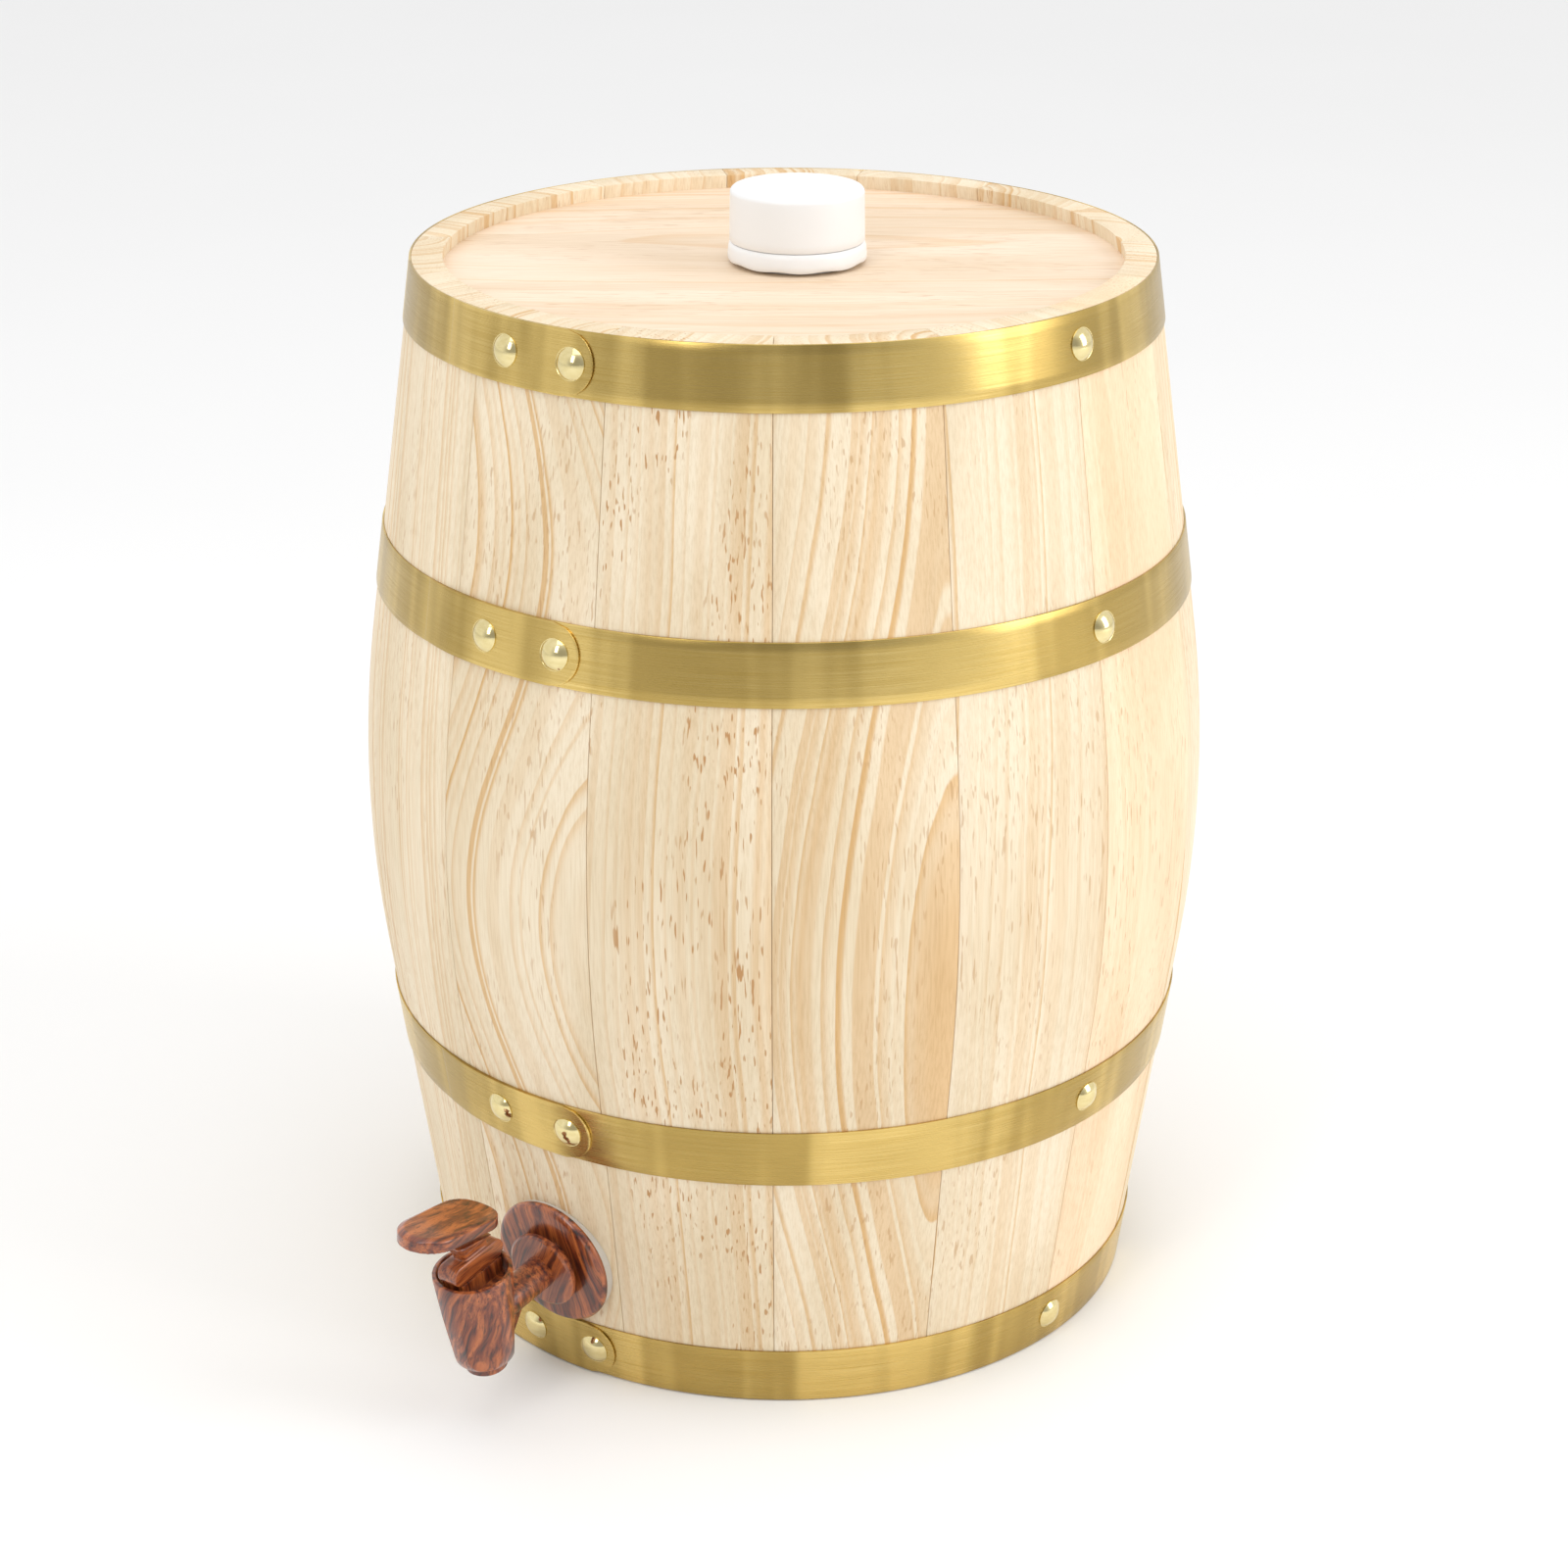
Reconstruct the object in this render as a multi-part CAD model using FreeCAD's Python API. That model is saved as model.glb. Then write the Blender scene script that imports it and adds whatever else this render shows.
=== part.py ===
"""A 20 litre pine barrel dispenser with a plastic bladder, a screw cap and a press tap.

Millimetres.  +Z is up, the origin is the centre of the base circle, and the tap points to -Y.
Everything follows the barrel's side profile: straight tapers at the ends, joined by one arc.
The tap is modelled level and upright, then leaned until its back is square to the stave.
"""
import FreeCAD
import Part
import math
import os

from FreeCAD import Vector

# Barrel
HEIGHT = 384.0
END_RADIUS = 128.6
BULGE = 22.8
BEND_HALF_HEIGHT = 59.0
STAVE_COUNT = 15
STAVE_THICKNESS = 10.8
FIRST_SEAM_DEG = 35.0

# Heads
HEAD_RECESS = 5.0
HEAD_THICKNESS = 12.0
HEAD_EDGE_THICKNESS = 6.0
HEAD_BEVEL = 8.0
CROZE_DEPTH = 4.0
HEAD_BOARD_WIDTH = 82.0
HEAD_GRAIN_DEG = 36.5

# Hoops and their nails
HOOP_WIDTH = 21.4
HOOP_THICKNESS = 0.7
HOOP_BASE_GAP = 0.6
QUARTER_HOOP_OFFSET = 87.4
LAP_END_DEG = 9.2
LAP_START_DEG = -14.0
RAMP_DEG = 6.0
RAMP_STEPS = 3
NAIL_HEAD_RADIUS = 5.5
NAIL_HEAD_HEIGHT = 2.6
NAIL_SHANK_RADIUS = 1.0
NAIL_TIP_COVER = 0.8
LAP_NAIL_DEG = (-6.5, 5.5)
NAIL_DEG = (84.0, 174.0, 264.0)

# Bladder and its threaded neck
BLADDER_GAP = 1.0
BLADDER_WALL = 1.2
NECK_OFFSET_X = 3.7
NECK_OFFSET_Y = 2.7
NECK_RADIUS = 18.6
NECK_WALL = 2.4
NECK_FLANGE_RADIUS = 27.0
NECK_FLANGE_THICKNESS = 2.0
NECK_HOLE_CLEARANCE = 0.5
NECK_BEAD_RADIUS = 19.7
NECK_BEAD_HEIGHT = 1.5

# Cap, tamper ring and sealing wad
CAP_RADIUS = 23.5
CAP_HEIGHT = 18.4
CAP_TOP = 2.0
CAP_EDGE_ROUND = 1.6
WAD_THICKNESS = 1.5
RING_HEIGHT = 6.7
RING_RADIUS = 24.1
RING_GAP = 0.25
RING_LIP_HEIGHT = 1.2
RING_STANDOFF = 1.0
THREAD_PITCH = 4.0
THREAD_DEPTH = 1.1
THREAD_CLEARANCE = 0.3
THREAD_CREST = 0.8
THREAD_ROOT = 1.5
NECK_THREAD_TURNS = 2.0
CAP_THREAD_TURNS = 1.5
THREAD_DROP = 3.0

# Tap: distances along its shank are counted outwards from the stave's face
TAP_HEIGHT = 46.3
TAP_REACH = 42.0
SHANK_RADIUS = 8.0
SHANK_INSIDE = 32.0
PASSAGE_RADIUS = 4.0
GASKET_THICKNESS = 1.0
GASKET_RADIUS = 23.4
ESCUTCHEON_RADIUS = 24.0
ESCUTCHEON_THICKNESS = 3.2
ESCUTCHEON_ROUND = 1.2
COLLAR_RADIUS = 14.1
COLLAR_THICKNESS = 2.5
HUB_RADIUS = 11.0
HUB_LENGTH = 2.5
TAP_NECK_RADIUS = 6.0
GUSSET_THICKNESS = 4.0
GUSSET_DROP = 16.0
GUSSET_LENGTH = 14.0
INNER_GASKET_RADIUS = 13.0
INNER_GASKET_THICKNESS = 2.4
LOCK_NUT_FLATS = 25.0
LOCK_NUT_HEIGHT = 8.0

# Tap body, heights counted from the shank's axis
BODY_RIM_HEIGHT = 22.5
BODY_RADIUS = 14.1
BODY_WAIST_HEIGHT = 8.0
BODY_LOWER_RADIUS = 11.6
BODY_LOWER_HEIGHT = -8.6
BODY_SHOULDER_RADIUS = 8.6
BODY_SHOULDER_HEIGHT = -15.6
SPOUT_RADIUS = 7.4
SPOUT_END = -18.7
SPOUT_BORE_RADIUS = 4.5
FACET_HALF_WIDTH = 11.3
FACET_TOP = 4.0
FACET_FADE_HEIGHT = 15.0
CUP_RADIUS = 12.2
CUP_DEPTH = 8.5
SEAT_HEIGHT = -6.0
CHAMBER_RADIUS = 7.5

# Valve
BONNET_CLEARANCE = 0.05
BONNET_FLANGE_THICKNESS = 3.0
BONNET_PLUG_LENGTH = 5.0
CAM_PAD_HALF_WIDTH = 4.6
CAM_PAD_PROUD = 0.3
CAM_PAD_HALF_LENGTH = 10.0
STEM_RADIUS = 2.25
STEM_CLEARANCE = 0.05
STEM_DISC_RADIUS = 5.5
STEM_DISC_THICKNESS = 2.0
STEM_SPIGOT_RADIUS = 2.0
STEM_EYE_HALF_THICKNESS = 1.2
STEM_FLAT_CLEARANCE = 0.25
SEAL_RADIUS = 5.8
SEAL_THICKNESS = 3.0
ORING_WIRE_RADIUS = 0.9
SPRING_RADIUS = 4.9
SPRING_WIRE_RADIUS = 0.35
SPRING_TURNS = 6.0

# Lever
CHEEK_HALF_SPAN = 9.1
CHEEK_RADIUS = 3.6
CHEEK_GAP = 0.02
CHEEK_HALF_THICKNESS = 4.0
LEVER_SLOT_CLEARANCE = 0.15
LEVER_PRESS_DEG = 30.0
PIN_RADIUS = 1.0
PIN_CLEARANCE = 0.04
WEB_HALF_THICKNESS = 3.4
WEB_BACK = -8.0
WEB_FRONT = 5.0
PADDLE_HEIGHT = 46.0
PADDLE_TILT_DEG = 13.0
PADDLE_HALF_WIDTH = 11.0
PADDLE_FRONT = 27.9
PADDLE_BACK = -11.7
PADDLE_THICKNESS = 4.0
PADDLE_LIP_WIDTH = 1.8
PADDLE_LIP_HEIGHT = 1.0
PADDLE_ROUND = 0.8

# Worked out from the sizes above
HALF_HEIGHT = HEIGHT / 2
X_AXIS = Vector(1, 0, 0)
Y_AXIS = Vector(0, 1, 0)
Z_AXIS = Vector(0, 0, 1)
ORIGIN = Vector(0, 0, 0)
MARGIN = 1.0
EDGE_TOLERANCE = 0.01


def find_taper():
    """Angle of the straight ends that, with the arc, gives the barrel its bulge."""
    low, high = 0.0, math.radians(45)
    for _ in range(60):
        angle = (low + high) / 2
        arc_rise = BEND_HALF_HEIGHT * math.tan(angle / 2)
        taper_rise = (HALF_HEIGHT - BEND_HALF_HEIGHT) * math.tan(angle)
        if arc_rise + taper_rise < BULGE:
            low = angle
        else:
            high = angle
    return (low + high) / 2


TAPER = find_taper()
ARC_RADIUS = BEND_HALF_HEIGHT / math.sin(TAPER)
ARC_CENTRE = END_RADIUS + BULGE - ARC_RADIUS


def radius_at(z, offset=0.0):
    """Radius of the barrel's side at a height, offset square to the wood."""
    rise = abs(z - HALF_HEIGHT)
    bend_end = (ARC_RADIUS + offset) * math.sin(TAPER)
    if rise < bend_end:
        return ARC_CENTRE + math.sqrt((ARC_RADIUS + offset) ** 2 - rise ** 2)
    return END_RADIUS + (HALF_HEIGHT - rise) * math.tan(TAPER) + offset / math.cos(TAPER)


def side_point(z, offset):
    """Point on the barrel's side, in the XZ plane."""
    return Vector(radius_at(z, offset), 0, z)


def side_edges(z_low, z_high, offset):
    """Lines and arc along the barrel's side from one height up to another."""
    bend = (ARC_RADIUS + offset) * math.sin(TAPER)
    breaks = [HALF_HEIGHT - bend, HALF_HEIGHT + bend]
    heights = [z_low] + [z for z in breaks if z_low < z < z_high] + [z_high]
    edges = []
    for low, high in zip(heights, heights[1:]):
        start, end = side_point(low, offset), side_point(high, offset)
        middle = (low + high) / 2
        if abs(middle - HALF_HEIGHT) < bend:
            edges.append(Part.Arc(start, side_point(middle, offset), end).toShape())
        else:
            edges.append(Part.LineSegment(start, end).toShape())
    return edges


def line(a, b):
    """Straight edge between two points."""
    return Part.LineSegment(a, b).toShape()


def revolve(face, start_deg=0.0, sweep_deg=360.0):
    """Turn a face in the XZ plane about Z."""
    if start_deg:
        face = face.copy()
        face.rotate(ORIGIN, Z_AXIS, start_deg)
    return face.revolve(ORIGIN, Z_AXIS, sweep_deg)


def side_band(z_low, z_high, inner, outer, start_deg=0.0, sweep_deg=360.0):
    """Part of a shell that follows the barrel's side between two offsets."""
    edges = side_edges(z_low, z_high, outer)
    edges.append(line(side_point(z_high, outer), side_point(z_high, inner)))
    edges += side_edges(z_low, z_high, inner)
    edges.append(line(side_point(z_low, inner), side_point(z_low, outer)))
    face = Part.Face(Part.Wire(Part.__sortEdges__(edges)))
    return revolve(face, start_deg, sweep_deg)


def side_core(z_low, z_high, offset):
    """Solid of everything inside an offset of the barrel's side."""
    low, high = Vector(0, 0, z_low), Vector(0, 0, z_high)
    edges = side_edges(z_low, z_high, offset)
    edges.append(line(side_point(z_high, offset), high))
    edges.append(line(high, low))
    edges.append(line(low, side_point(z_low, offset)))
    return revolve(Part.Face(Part.Wire(Part.__sortEdges__(edges))))


def lathe(points):
    """Solid turned about Z from (radius, height) corners."""
    corners = [Vector(r, 0, z) for r, z in points]
    return revolve(Part.Face(Part.makePolygon(corners + corners[:1])))


def rod(radius, start, end):
    """Cylinder between two points."""
    return Part.makeCylinder(radius, (end - start).Length, start, end - start)


def on_side(angle_deg, radius, z):
    """Point at an azimuth counted from the tap's direction towards +X."""
    angle = math.radians(angle_deg)
    return Vector(radius * math.sin(angle), -radius * math.cos(angle), z)


def side_normal(angle_deg, z):
    """Direction square to the wood, outwards, on the straight tapers or the arc."""
    rise = z - HALF_HEIGHT
    slope = math.asin(max(-1.0, min(1.0, rise / ARC_RADIUS)))
    if abs(rise) > BEND_HALF_HEIGHT:
        slope = math.copysign(TAPER, rise)
    direction = on_side(angle_deg, math.cos(slope), 0)
    return Vector(direction.x, direction.y, math.sin(slope))


# Heads

HEAD_TOP = HEIGHT - HEAD_RECESS
HEAD_RADIUS = radius_at(HEAD_TOP, -STAVE_THICKNESS) + CROZE_DEPTH
NECK_AXIS = Vector(NECK_OFFSET_X, NECK_OFFSET_Y, 0)


def head_disc():
    """Upper head as one disc: flat on top, bevelled underneath to fit its groove."""
    return lathe([
        (0, HEAD_TOP),
        (HEAD_RADIUS, HEAD_TOP),
        (HEAD_RADIUS, HEAD_TOP - HEAD_EDGE_THICKNESS),
        (HEAD_RADIUS - HEAD_BEVEL, HEAD_TOP - HEAD_THICKNESS),
        (0, HEAD_TOP - HEAD_THICKNESS),
    ])


def turned_over(shape):
    """The same piece at the other end of the barrel."""
    copy = shape.copy()
    copy.rotate(Vector(0, 0, HALF_HEIGHT), X_AXIS, 180)
    return copy


def head_boards(disc):
    """Split a head into a middle board and the two boards that fill the rest beside it."""
    reach = 2 * HEAD_RADIUS
    half = HEAD_BOARD_WIDTH / 2
    boards = []
    for near, far in ((-reach, -half), (-half, half), (half, reach)):
        slab = Part.makeBox(2 * reach, far - near, HEIGHT + 2 * MARGIN, Vector(-reach, near, -MARGIN))
        slab.rotate(ORIGIN, Z_AXIS, HEAD_GRAIN_DEG)
        boards.append(disc.common(slab))
    return boards


# Hoops and nails

NAIL_DEPTH = STAVE_THICKNESS - CROZE_DEPTH - NAIL_TIP_COVER


def hoop_levels():
    """Lower edge of each hoop, by name."""
    half = HOOP_WIDTH / 2
    return {
        "top": HEIGHT - HOOP_WIDTH,
        "upper": HALF_HEIGHT + QUARTER_HOOP_OFFSET - half,
        "lower": HALF_HEIGHT - QUARTER_HOOP_OFFSET - half,
        "bottom": HOOP_BASE_GAP,
    }


def turn_from_front(angle_deg):
    """Azimuth counted from the tap, as an angle about Z from +X."""
    return angle_deg - 90.0


def strip_section(z_low, offset, angle_deg):
    """Closed outline of the hoop's strip at one azimuth."""
    points = [
        side_point(z_low, offset),
        side_point(z_low + HOOP_WIDTH, offset),
        side_point(z_low + HOOP_WIDTH, offset + HOOP_THICKNESS),
        side_point(z_low, offset + HOOP_THICKNESS),
    ]
    wire = Part.makePolygon(points + points[:1])
    wire.rotate(ORIGIN, Z_AXIS, turn_from_front(angle_deg))
    return wire


def hoop(z_low):
    """One riveted hoop: a closed band, the ramp where it climbs, and the rounded lap."""
    z_high = z_low + HOOP_WIDTH
    middle = (z_low + z_high) / 2
    band = side_band(z_low, z_high, 0, HOOP_THICKNESS)

    steps = [RAMP_DEG * i / RAMP_STEPS for i in range(RAMP_STEPS + 1)]
    ramp_base = LAP_START_DEG - RAMP_DEG
    sections = [strip_section(z_low, HOOP_THICKNESS * s / RAMP_DEG, ramp_base + s) for s in steps]
    ramp = Part.makeLoft(sections, True, True)

    sweep = LAP_END_DEG - LAP_START_DEG
    start = turn_from_front(LAP_START_DEG)
    lap = side_band(z_low, z_high, HOOP_THICKNESS, 2 * HOOP_THICKNESS, start, sweep)
    radius = radius_at(middle)
    tip = LAP_END_DEG - math.degrees(HOOP_WIDTH / 2 / radius)
    normal = side_normal(tip, middle)
    centre = on_side(tip, radius, middle)
    end = rod(HOOP_WIDTH / 2, centre - normal * HOOP_WIDTH, centre + normal * HOOP_WIDTH)
    straight = side_band(z_low, z_high, 0, 2 * HOOP_WIDTH, start, tip - LAP_START_DEG)
    lap = lap.common(straight.fuse(end))
    return band.fuse([ramp, lap]).removeSplitter()


def nail_angles():
    """Azimuth of each nail in a hoop, and how many layers of strip it goes through."""
    return [(angle, 2) for angle in LAP_NAIL_DEG] + [(angle, 1) for angle in NAIL_DEG]


def nail_shank(angle_deg, z, layers):
    """Shank of one nail, square to the wood."""
    normal = side_normal(angle_deg, z)
    surface = on_side(angle_deg, radius_at(z), z)
    return rod(NAIL_SHANK_RADIUS, surface - normal * NAIL_DEPTH, surface + normal * layers * HOOP_THICKNESS)


def nail(angle_deg, z, layers):
    """Dome-headed nail, its head resting on the strip."""
    sphere = (NAIL_HEAD_RADIUS ** 2 + NAIL_HEAD_HEIGHT ** 2) / (2 * NAIL_HEAD_HEIGHT)
    ball = Part.makeSphere(sphere, Vector(0, 0, NAIL_HEAD_HEIGHT - sphere))
    dome = ball.common(Part.makeCylinder(NAIL_HEAD_RADIUS + MARGIN, NAIL_HEAD_HEIGHT + MARGIN))
    seat = on_side(angle_deg, radius_at(z), z) + side_normal(angle_deg, z) * layers * HOOP_THICKNESS
    dome.Placement = FreeCAD.Placement(seat, FreeCAD.Rotation(Z_AXIS, side_normal(angle_deg, z)))
    wrapped = side_core(z - HOOP_WIDTH, z + HOOP_WIDTH, layers * HOOP_THICKNESS)
    return dome.cut(wrapped).fuse(nail_shank(angle_deg, z, layers)).removeSplitter()


# Bladder, neck and cap

FLANGE_TOP = HEAD_TOP - HEAD_THICKNESS
BLADDER_TOP = FLANGE_TOP - NECK_FLANGE_THICKNESS
BLADDER_BOTTOM = HEAD_RECESS + HEAD_THICKNESS + BLADDER_GAP
BLADDER_OUTSIDE = -STAVE_THICKNESS - BLADDER_GAP
BLADDER_INSIDE = BLADDER_OUTSIDE - BLADDER_WALL
RING_BOTTOM = HEAD_TOP + RING_STANDOFF
RING_TOP = RING_BOTTOM + RING_HEIGHT
CAP_BOTTOM = RING_TOP + RING_GAP
CAP_UNDERSIDE = CAP_BOTTOM + CAP_HEIGHT - CAP_TOP
NECK_TOP = CAP_UNDERSIDE - WAD_THICKNESS
NECK_BORE = NECK_RADIUS - NECK_WALL
CAP_BORE = NECK_RADIUS + THREAD_DEPTH + THREAD_CLEARANCE + THREAD_CLEARANCE
THREAD_TOP = NECK_TOP - THREAD_DROP
THREAD_BOTTOM = THREAD_TOP - THREAD_PITCH * NECK_THREAD_TURNS


def bladder_inside():
    """Space inside the bladder."""
    return side_core(BLADDER_BOTTOM + BLADDER_WALL, BLADDER_TOP - BLADDER_WALL, BLADDER_INSIDE)


def bladder():
    """Blown bladder that lines the barrel, open at the neck."""
    shell = side_core(BLADDER_BOTTOM, BLADDER_TOP, BLADDER_OUTSIDE).cut(bladder_inside())
    return shell.cut(rod(NECK_BORE, NECK_AXIS, NECK_AXIS + Z_AXIS * HEIGHT))


def helix_rib(radius, depth, base_z, turns, outwards):
    """Trapezoid rib wound on a cylinder, sunk a little into it."""
    path = Part.makeHelix(THREAD_PITCH, THREAD_PITCH * turns, radius)
    side = 1 if outwards else -1
    sunk = THREAD_CLEARANCE
    corners = [
        Vector(radius - side * sunk, 0, -THREAD_ROOT),
        Vector(radius + side * depth, 0, -THREAD_CREST / 2),
        Vector(radius + side * depth, 0, THREAD_CREST / 2),
        Vector(radius - side * sunk, 0, THREAD_ROOT),
    ]
    profile = Part.makePolygon(corners + corners[:1])
    rib = Part.Wire(path.Edges).makePipeShell([profile], True, True)
    rib.translate(Vector(0, 0, base_z))
    return rib


def moved_to_neck(shape):
    """Carry a piece from the Z axis to the neck's axis."""
    shape.translate(NECK_AXIS)
    return shape


def liner_neck():
    """Moulded neck: a flange under the head, a tube, a snap bead and the thread."""
    bead = RING_BOTTOM + RING_LIP_HEIGHT + RING_GAP
    tube = lathe([
        (NECK_BORE, BLADDER_TOP),
        (NECK_FLANGE_RADIUS, BLADDER_TOP),
        (NECK_FLANGE_RADIUS, FLANGE_TOP),
        (NECK_RADIUS, FLANGE_TOP),
        (NECK_RADIUS, bead),
        (NECK_BEAD_RADIUS, bead),
        (NECK_BEAD_RADIUS, bead + NECK_BEAD_HEIGHT / 2),
        (NECK_RADIUS, bead + NECK_BEAD_HEIGHT),
        (NECK_RADIUS, NECK_TOP),
        (NECK_BORE, NECK_TOP),
    ])
    rib = helix_rib(NECK_RADIUS, THREAD_DEPTH, THREAD_BOTTOM, NECK_THREAD_TURNS, True)
    return moved_to_neck(tube.fuse(rib))


def tamper_ring():
    """Ring that stays on the neck when the cap is first broken free."""
    inside = NECK_BEAD_RADIUS + RING_GAP
    lip = NECK_RADIUS + RING_GAP
    return moved_to_neck(lathe([
        (lip, RING_BOTTOM),
        (RING_RADIUS, RING_BOTTOM),
        (RING_RADIUS, RING_TOP),
        (inside, RING_TOP),
        (inside, RING_BOTTOM + RING_LIP_HEIGHT),
        (lip, RING_BOTTOM + RING_LIP_HEIGHT),
    ]))


def cap_wad():
    """Soft disc that seals the neck."""
    return rod(NECK_RADIUS, NECK_AXIS + Z_AXIS * NECK_TOP, NECK_AXIS + Z_AXIS * CAP_UNDERSIDE)


def cap():
    """Screw cap: a plain white cup with a thread that meshes with the neck's."""
    top = CAP_BOTTOM + CAP_HEIGHT
    outside = Part.makeCylinder(CAP_RADIUS, CAP_HEIGHT, Vector(0, 0, CAP_BOTTOM))
    rim = [e for e in outside.Edges if e.BoundBox.ZMin > top - EDGE_TOLERANCE and len(e.Vertexes) == 1]
    outside = outside.makeFillet(CAP_EDGE_ROUND, rim)
    inside = Part.makeCylinder(CAP_BORE, CAP_UNDERSIDE - CAP_BOTTOM, Vector(0, 0, CAP_BOTTOM))
    crest = THREAD_DEPTH + THREAD_CLEARANCE
    base = THREAD_BOTTOM + THREAD_PITCH / 2
    rib = helix_rib(CAP_BORE, crest, base, CAP_THREAD_TURNS, False)
    return moved_to_neck(outside.cut(inside).fuse(rib))


# Tap

TAP_SEAT = Vector(0, -radius_at(TAP_HEIGHT), TAP_HEIGHT)
ESCUTCHEON_FRONT = GASKET_THICKNESS + ESCUTCHEON_THICKNESS
COLLAR_BACK = ESCUTCHEON_FRONT + HUB_LENGTH
COLLAR_FRONT = COLLAR_BACK + COLLAR_THICKNESS
CUP_FLOOR = BODY_RIM_HEIGHT - CUP_DEPTH
BONNET_TOP = CUP_FLOOR + BONNET_FLANGE_THICKNESS
BONNET_BOTTOM = CUP_FLOOR - BONNET_PLUG_LENGTH
PAD_TOP = BODY_RIM_HEIGHT + CAM_PAD_PROUD
PIN_HEIGHT = PAD_TOP + CHEEK_GAP + CHEEK_RADIUS
PRESS = math.radians(LEVER_PRESS_DEG)
STEM_FLAT_DROP = CHEEK_RADIUS / math.cos(PRESS) + STEM_RADIUS * math.tan(PRESS) + STEM_FLAT_CLEARANCE
SEAL_TOP = SEAT_HEIGHT + SEAL_THICKNESS
DISC_TOP = SEAL_TOP + STEM_DISC_THICKNESS
BODY_AXIS = Vector(0, -TAP_REACH, 0)


def leaned(shape):
    """Lean a level tap piece square to the stave and put it at its hole."""
    copy = shape.copy()
    copy.rotate(ORIGIN, X_AXIS, math.degrees(TAPER))
    copy.translate(TAP_SEAT)
    return copy


def levelled(shape):
    """Bring a barrel piece into the tap's own level frame."""
    copy = shape.copy()
    copy.translate(TAP_SEAT * -1)
    copy.rotate(ORIGIN, X_AXIS, -math.degrees(TAPER))
    return copy


def along_shank(radius, start, end):
    """Cylinder on the shank's axis between two distances outwards."""
    return rod(radius, Vector(0, -start, 0), Vector(0, -end, 0))


def upright(radius, low, high):
    """Cylinder on the body's axis between two heights."""
    return rod(radius, BODY_AXIS + Z_AXIS * low, BODY_AXIS + Z_AXIS * high)


def upright_lathe(points):
    """Turned solid on the body's axis."""
    shape = lathe(points)
    shape.translate(BODY_AXIS)
    return shape


def square_wire(half, z):
    """Square outline about the body's axis with a corner pointing outwards."""
    corners = [Vector(half, half, z), Vector(-half, half, z), Vector(-half, -half, z), Vector(half, -half, z)]
    wire = Part.makePolygon(corners + corners[:1])
    wire.rotate(ORIGIN, Z_AXIS, 45)
    wire.translate(BODY_AXIS)
    return wire


def tap_casing():
    """Outside of the upright body: turned, then pared to four faces below its round rim."""
    turned = upright_lathe([
        (0, BODY_RIM_HEIGHT),
        (BODY_RADIUS, BODY_RIM_HEIGHT),
        (BODY_RADIUS, BODY_WAIST_HEIGHT),
        (BODY_LOWER_RADIUS, BODY_LOWER_HEIGHT),
        (BODY_SHOULDER_RADIUS, BODY_SHOULDER_HEIGHT),
        (SPOUT_RADIUS, BODY_SHOULDER_HEIGHT),
        (SPOUT_RADIUS, SPOUT_END),
        (0, SPOUT_END),
    ])
    low = SPOUT_END - MARGIN
    straight = Part.makeLoft([square_wire(FACET_HALF_WIDTH, low), square_wire(FACET_HALF_WIDTH, FACET_TOP)], True, True)
    fade = Part.makeLoft([
        square_wire(FACET_HALF_WIDTH, FACET_TOP),
        square_wire(BODY_RADIUS + MARGIN, FACET_FADE_HEIGHT),
    ], True, True)
    top = upright(BODY_RADIUS + MARGIN, FACET_FADE_HEIGHT, BODY_RIM_HEIGHT + MARGIN)
    return turned.common(straight.fuse([fade, top]))


def gusset():
    """Web under the neck that stiffens it against the body."""
    back = Vector(0, -TAP_REACH, 0)
    corners = [
        back,
        back + Vector(0, FACET_HALF_WIDTH + GUSSET_LENGTH, 0),
        back + Vector(0, FACET_HALF_WIDTH, -GUSSET_DROP),
        back + Vector(0, 0, -GUSSET_DROP),
    ]
    face = Part.Face(Part.makePolygon(corners + corners[:1]))
    plate = face.extrude(X_AXIS * GUSSET_THICKNESS)
    plate.translate(X_AXIS * (-GUSSET_THICKNESS / 2))
    return plate


def tap_body():
    """Shank, collar, neck and upright body, moulded in one, with their bores."""
    solid = along_shank(SHANK_RADIUS, -SHANK_INSIDE, ESCUTCHEON_FRONT)
    solid = solid.fuse([
        along_shank(HUB_RADIUS, ESCUTCHEON_FRONT, COLLAR_BACK),
        along_shank(COLLAR_RADIUS, COLLAR_BACK, COLLAR_FRONT),
        along_shank(TAP_NECK_RADIUS, COLLAR_FRONT, TAP_REACH),
        gusset(),
        tap_casing(),
    ])
    solid = solid.cut(upright(SPOUT_BORE_RADIUS, SPOUT_END - MARGIN, SEAT_HEIGHT + MARGIN))
    solid = solid.cut(upright(CHAMBER_RADIUS, SEAT_HEIGHT, CUP_FLOOR + MARGIN))
    solid = solid.cut(upright(CUP_RADIUS, CUP_FLOOR, BODY_RIM_HEIGHT + MARGIN))
    return solid.cut(along_shank(PASSAGE_RADIUS, -SHANK_INSIDE - MARGIN, TAP_REACH)).removeSplitter()


def outer_gasket(barrel):
    """Soft washer whose back takes the curve of the stave."""
    depth = GASKET_RADIUS ** 2 / radius_at(TAP_HEIGHT)
    ring = along_shank(GASKET_RADIUS, -depth, GASKET_THICKNESS).cut(along_shank(SHANK_RADIUS, -depth, ESCUTCHEON_FRONT))
    return ring.cut(barrel)


def escutcheon():
    """Round wall plate with a rounded front edge."""
    disc = along_shank(ESCUTCHEON_RADIUS, GASKET_THICKNESS, ESCUTCHEON_FRONT)
    front = [e for e in disc.Edges if len(e.Vertexes) == 1 and e.BoundBox.YMax < -ESCUTCHEON_FRONT + EDGE_TOLERANCE]
    disc = disc.makeFillet(ESCUTCHEON_ROUND, front)
    return disc.cut(along_shank(SHANK_RADIUS, 0, ESCUTCHEON_FRONT))


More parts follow.
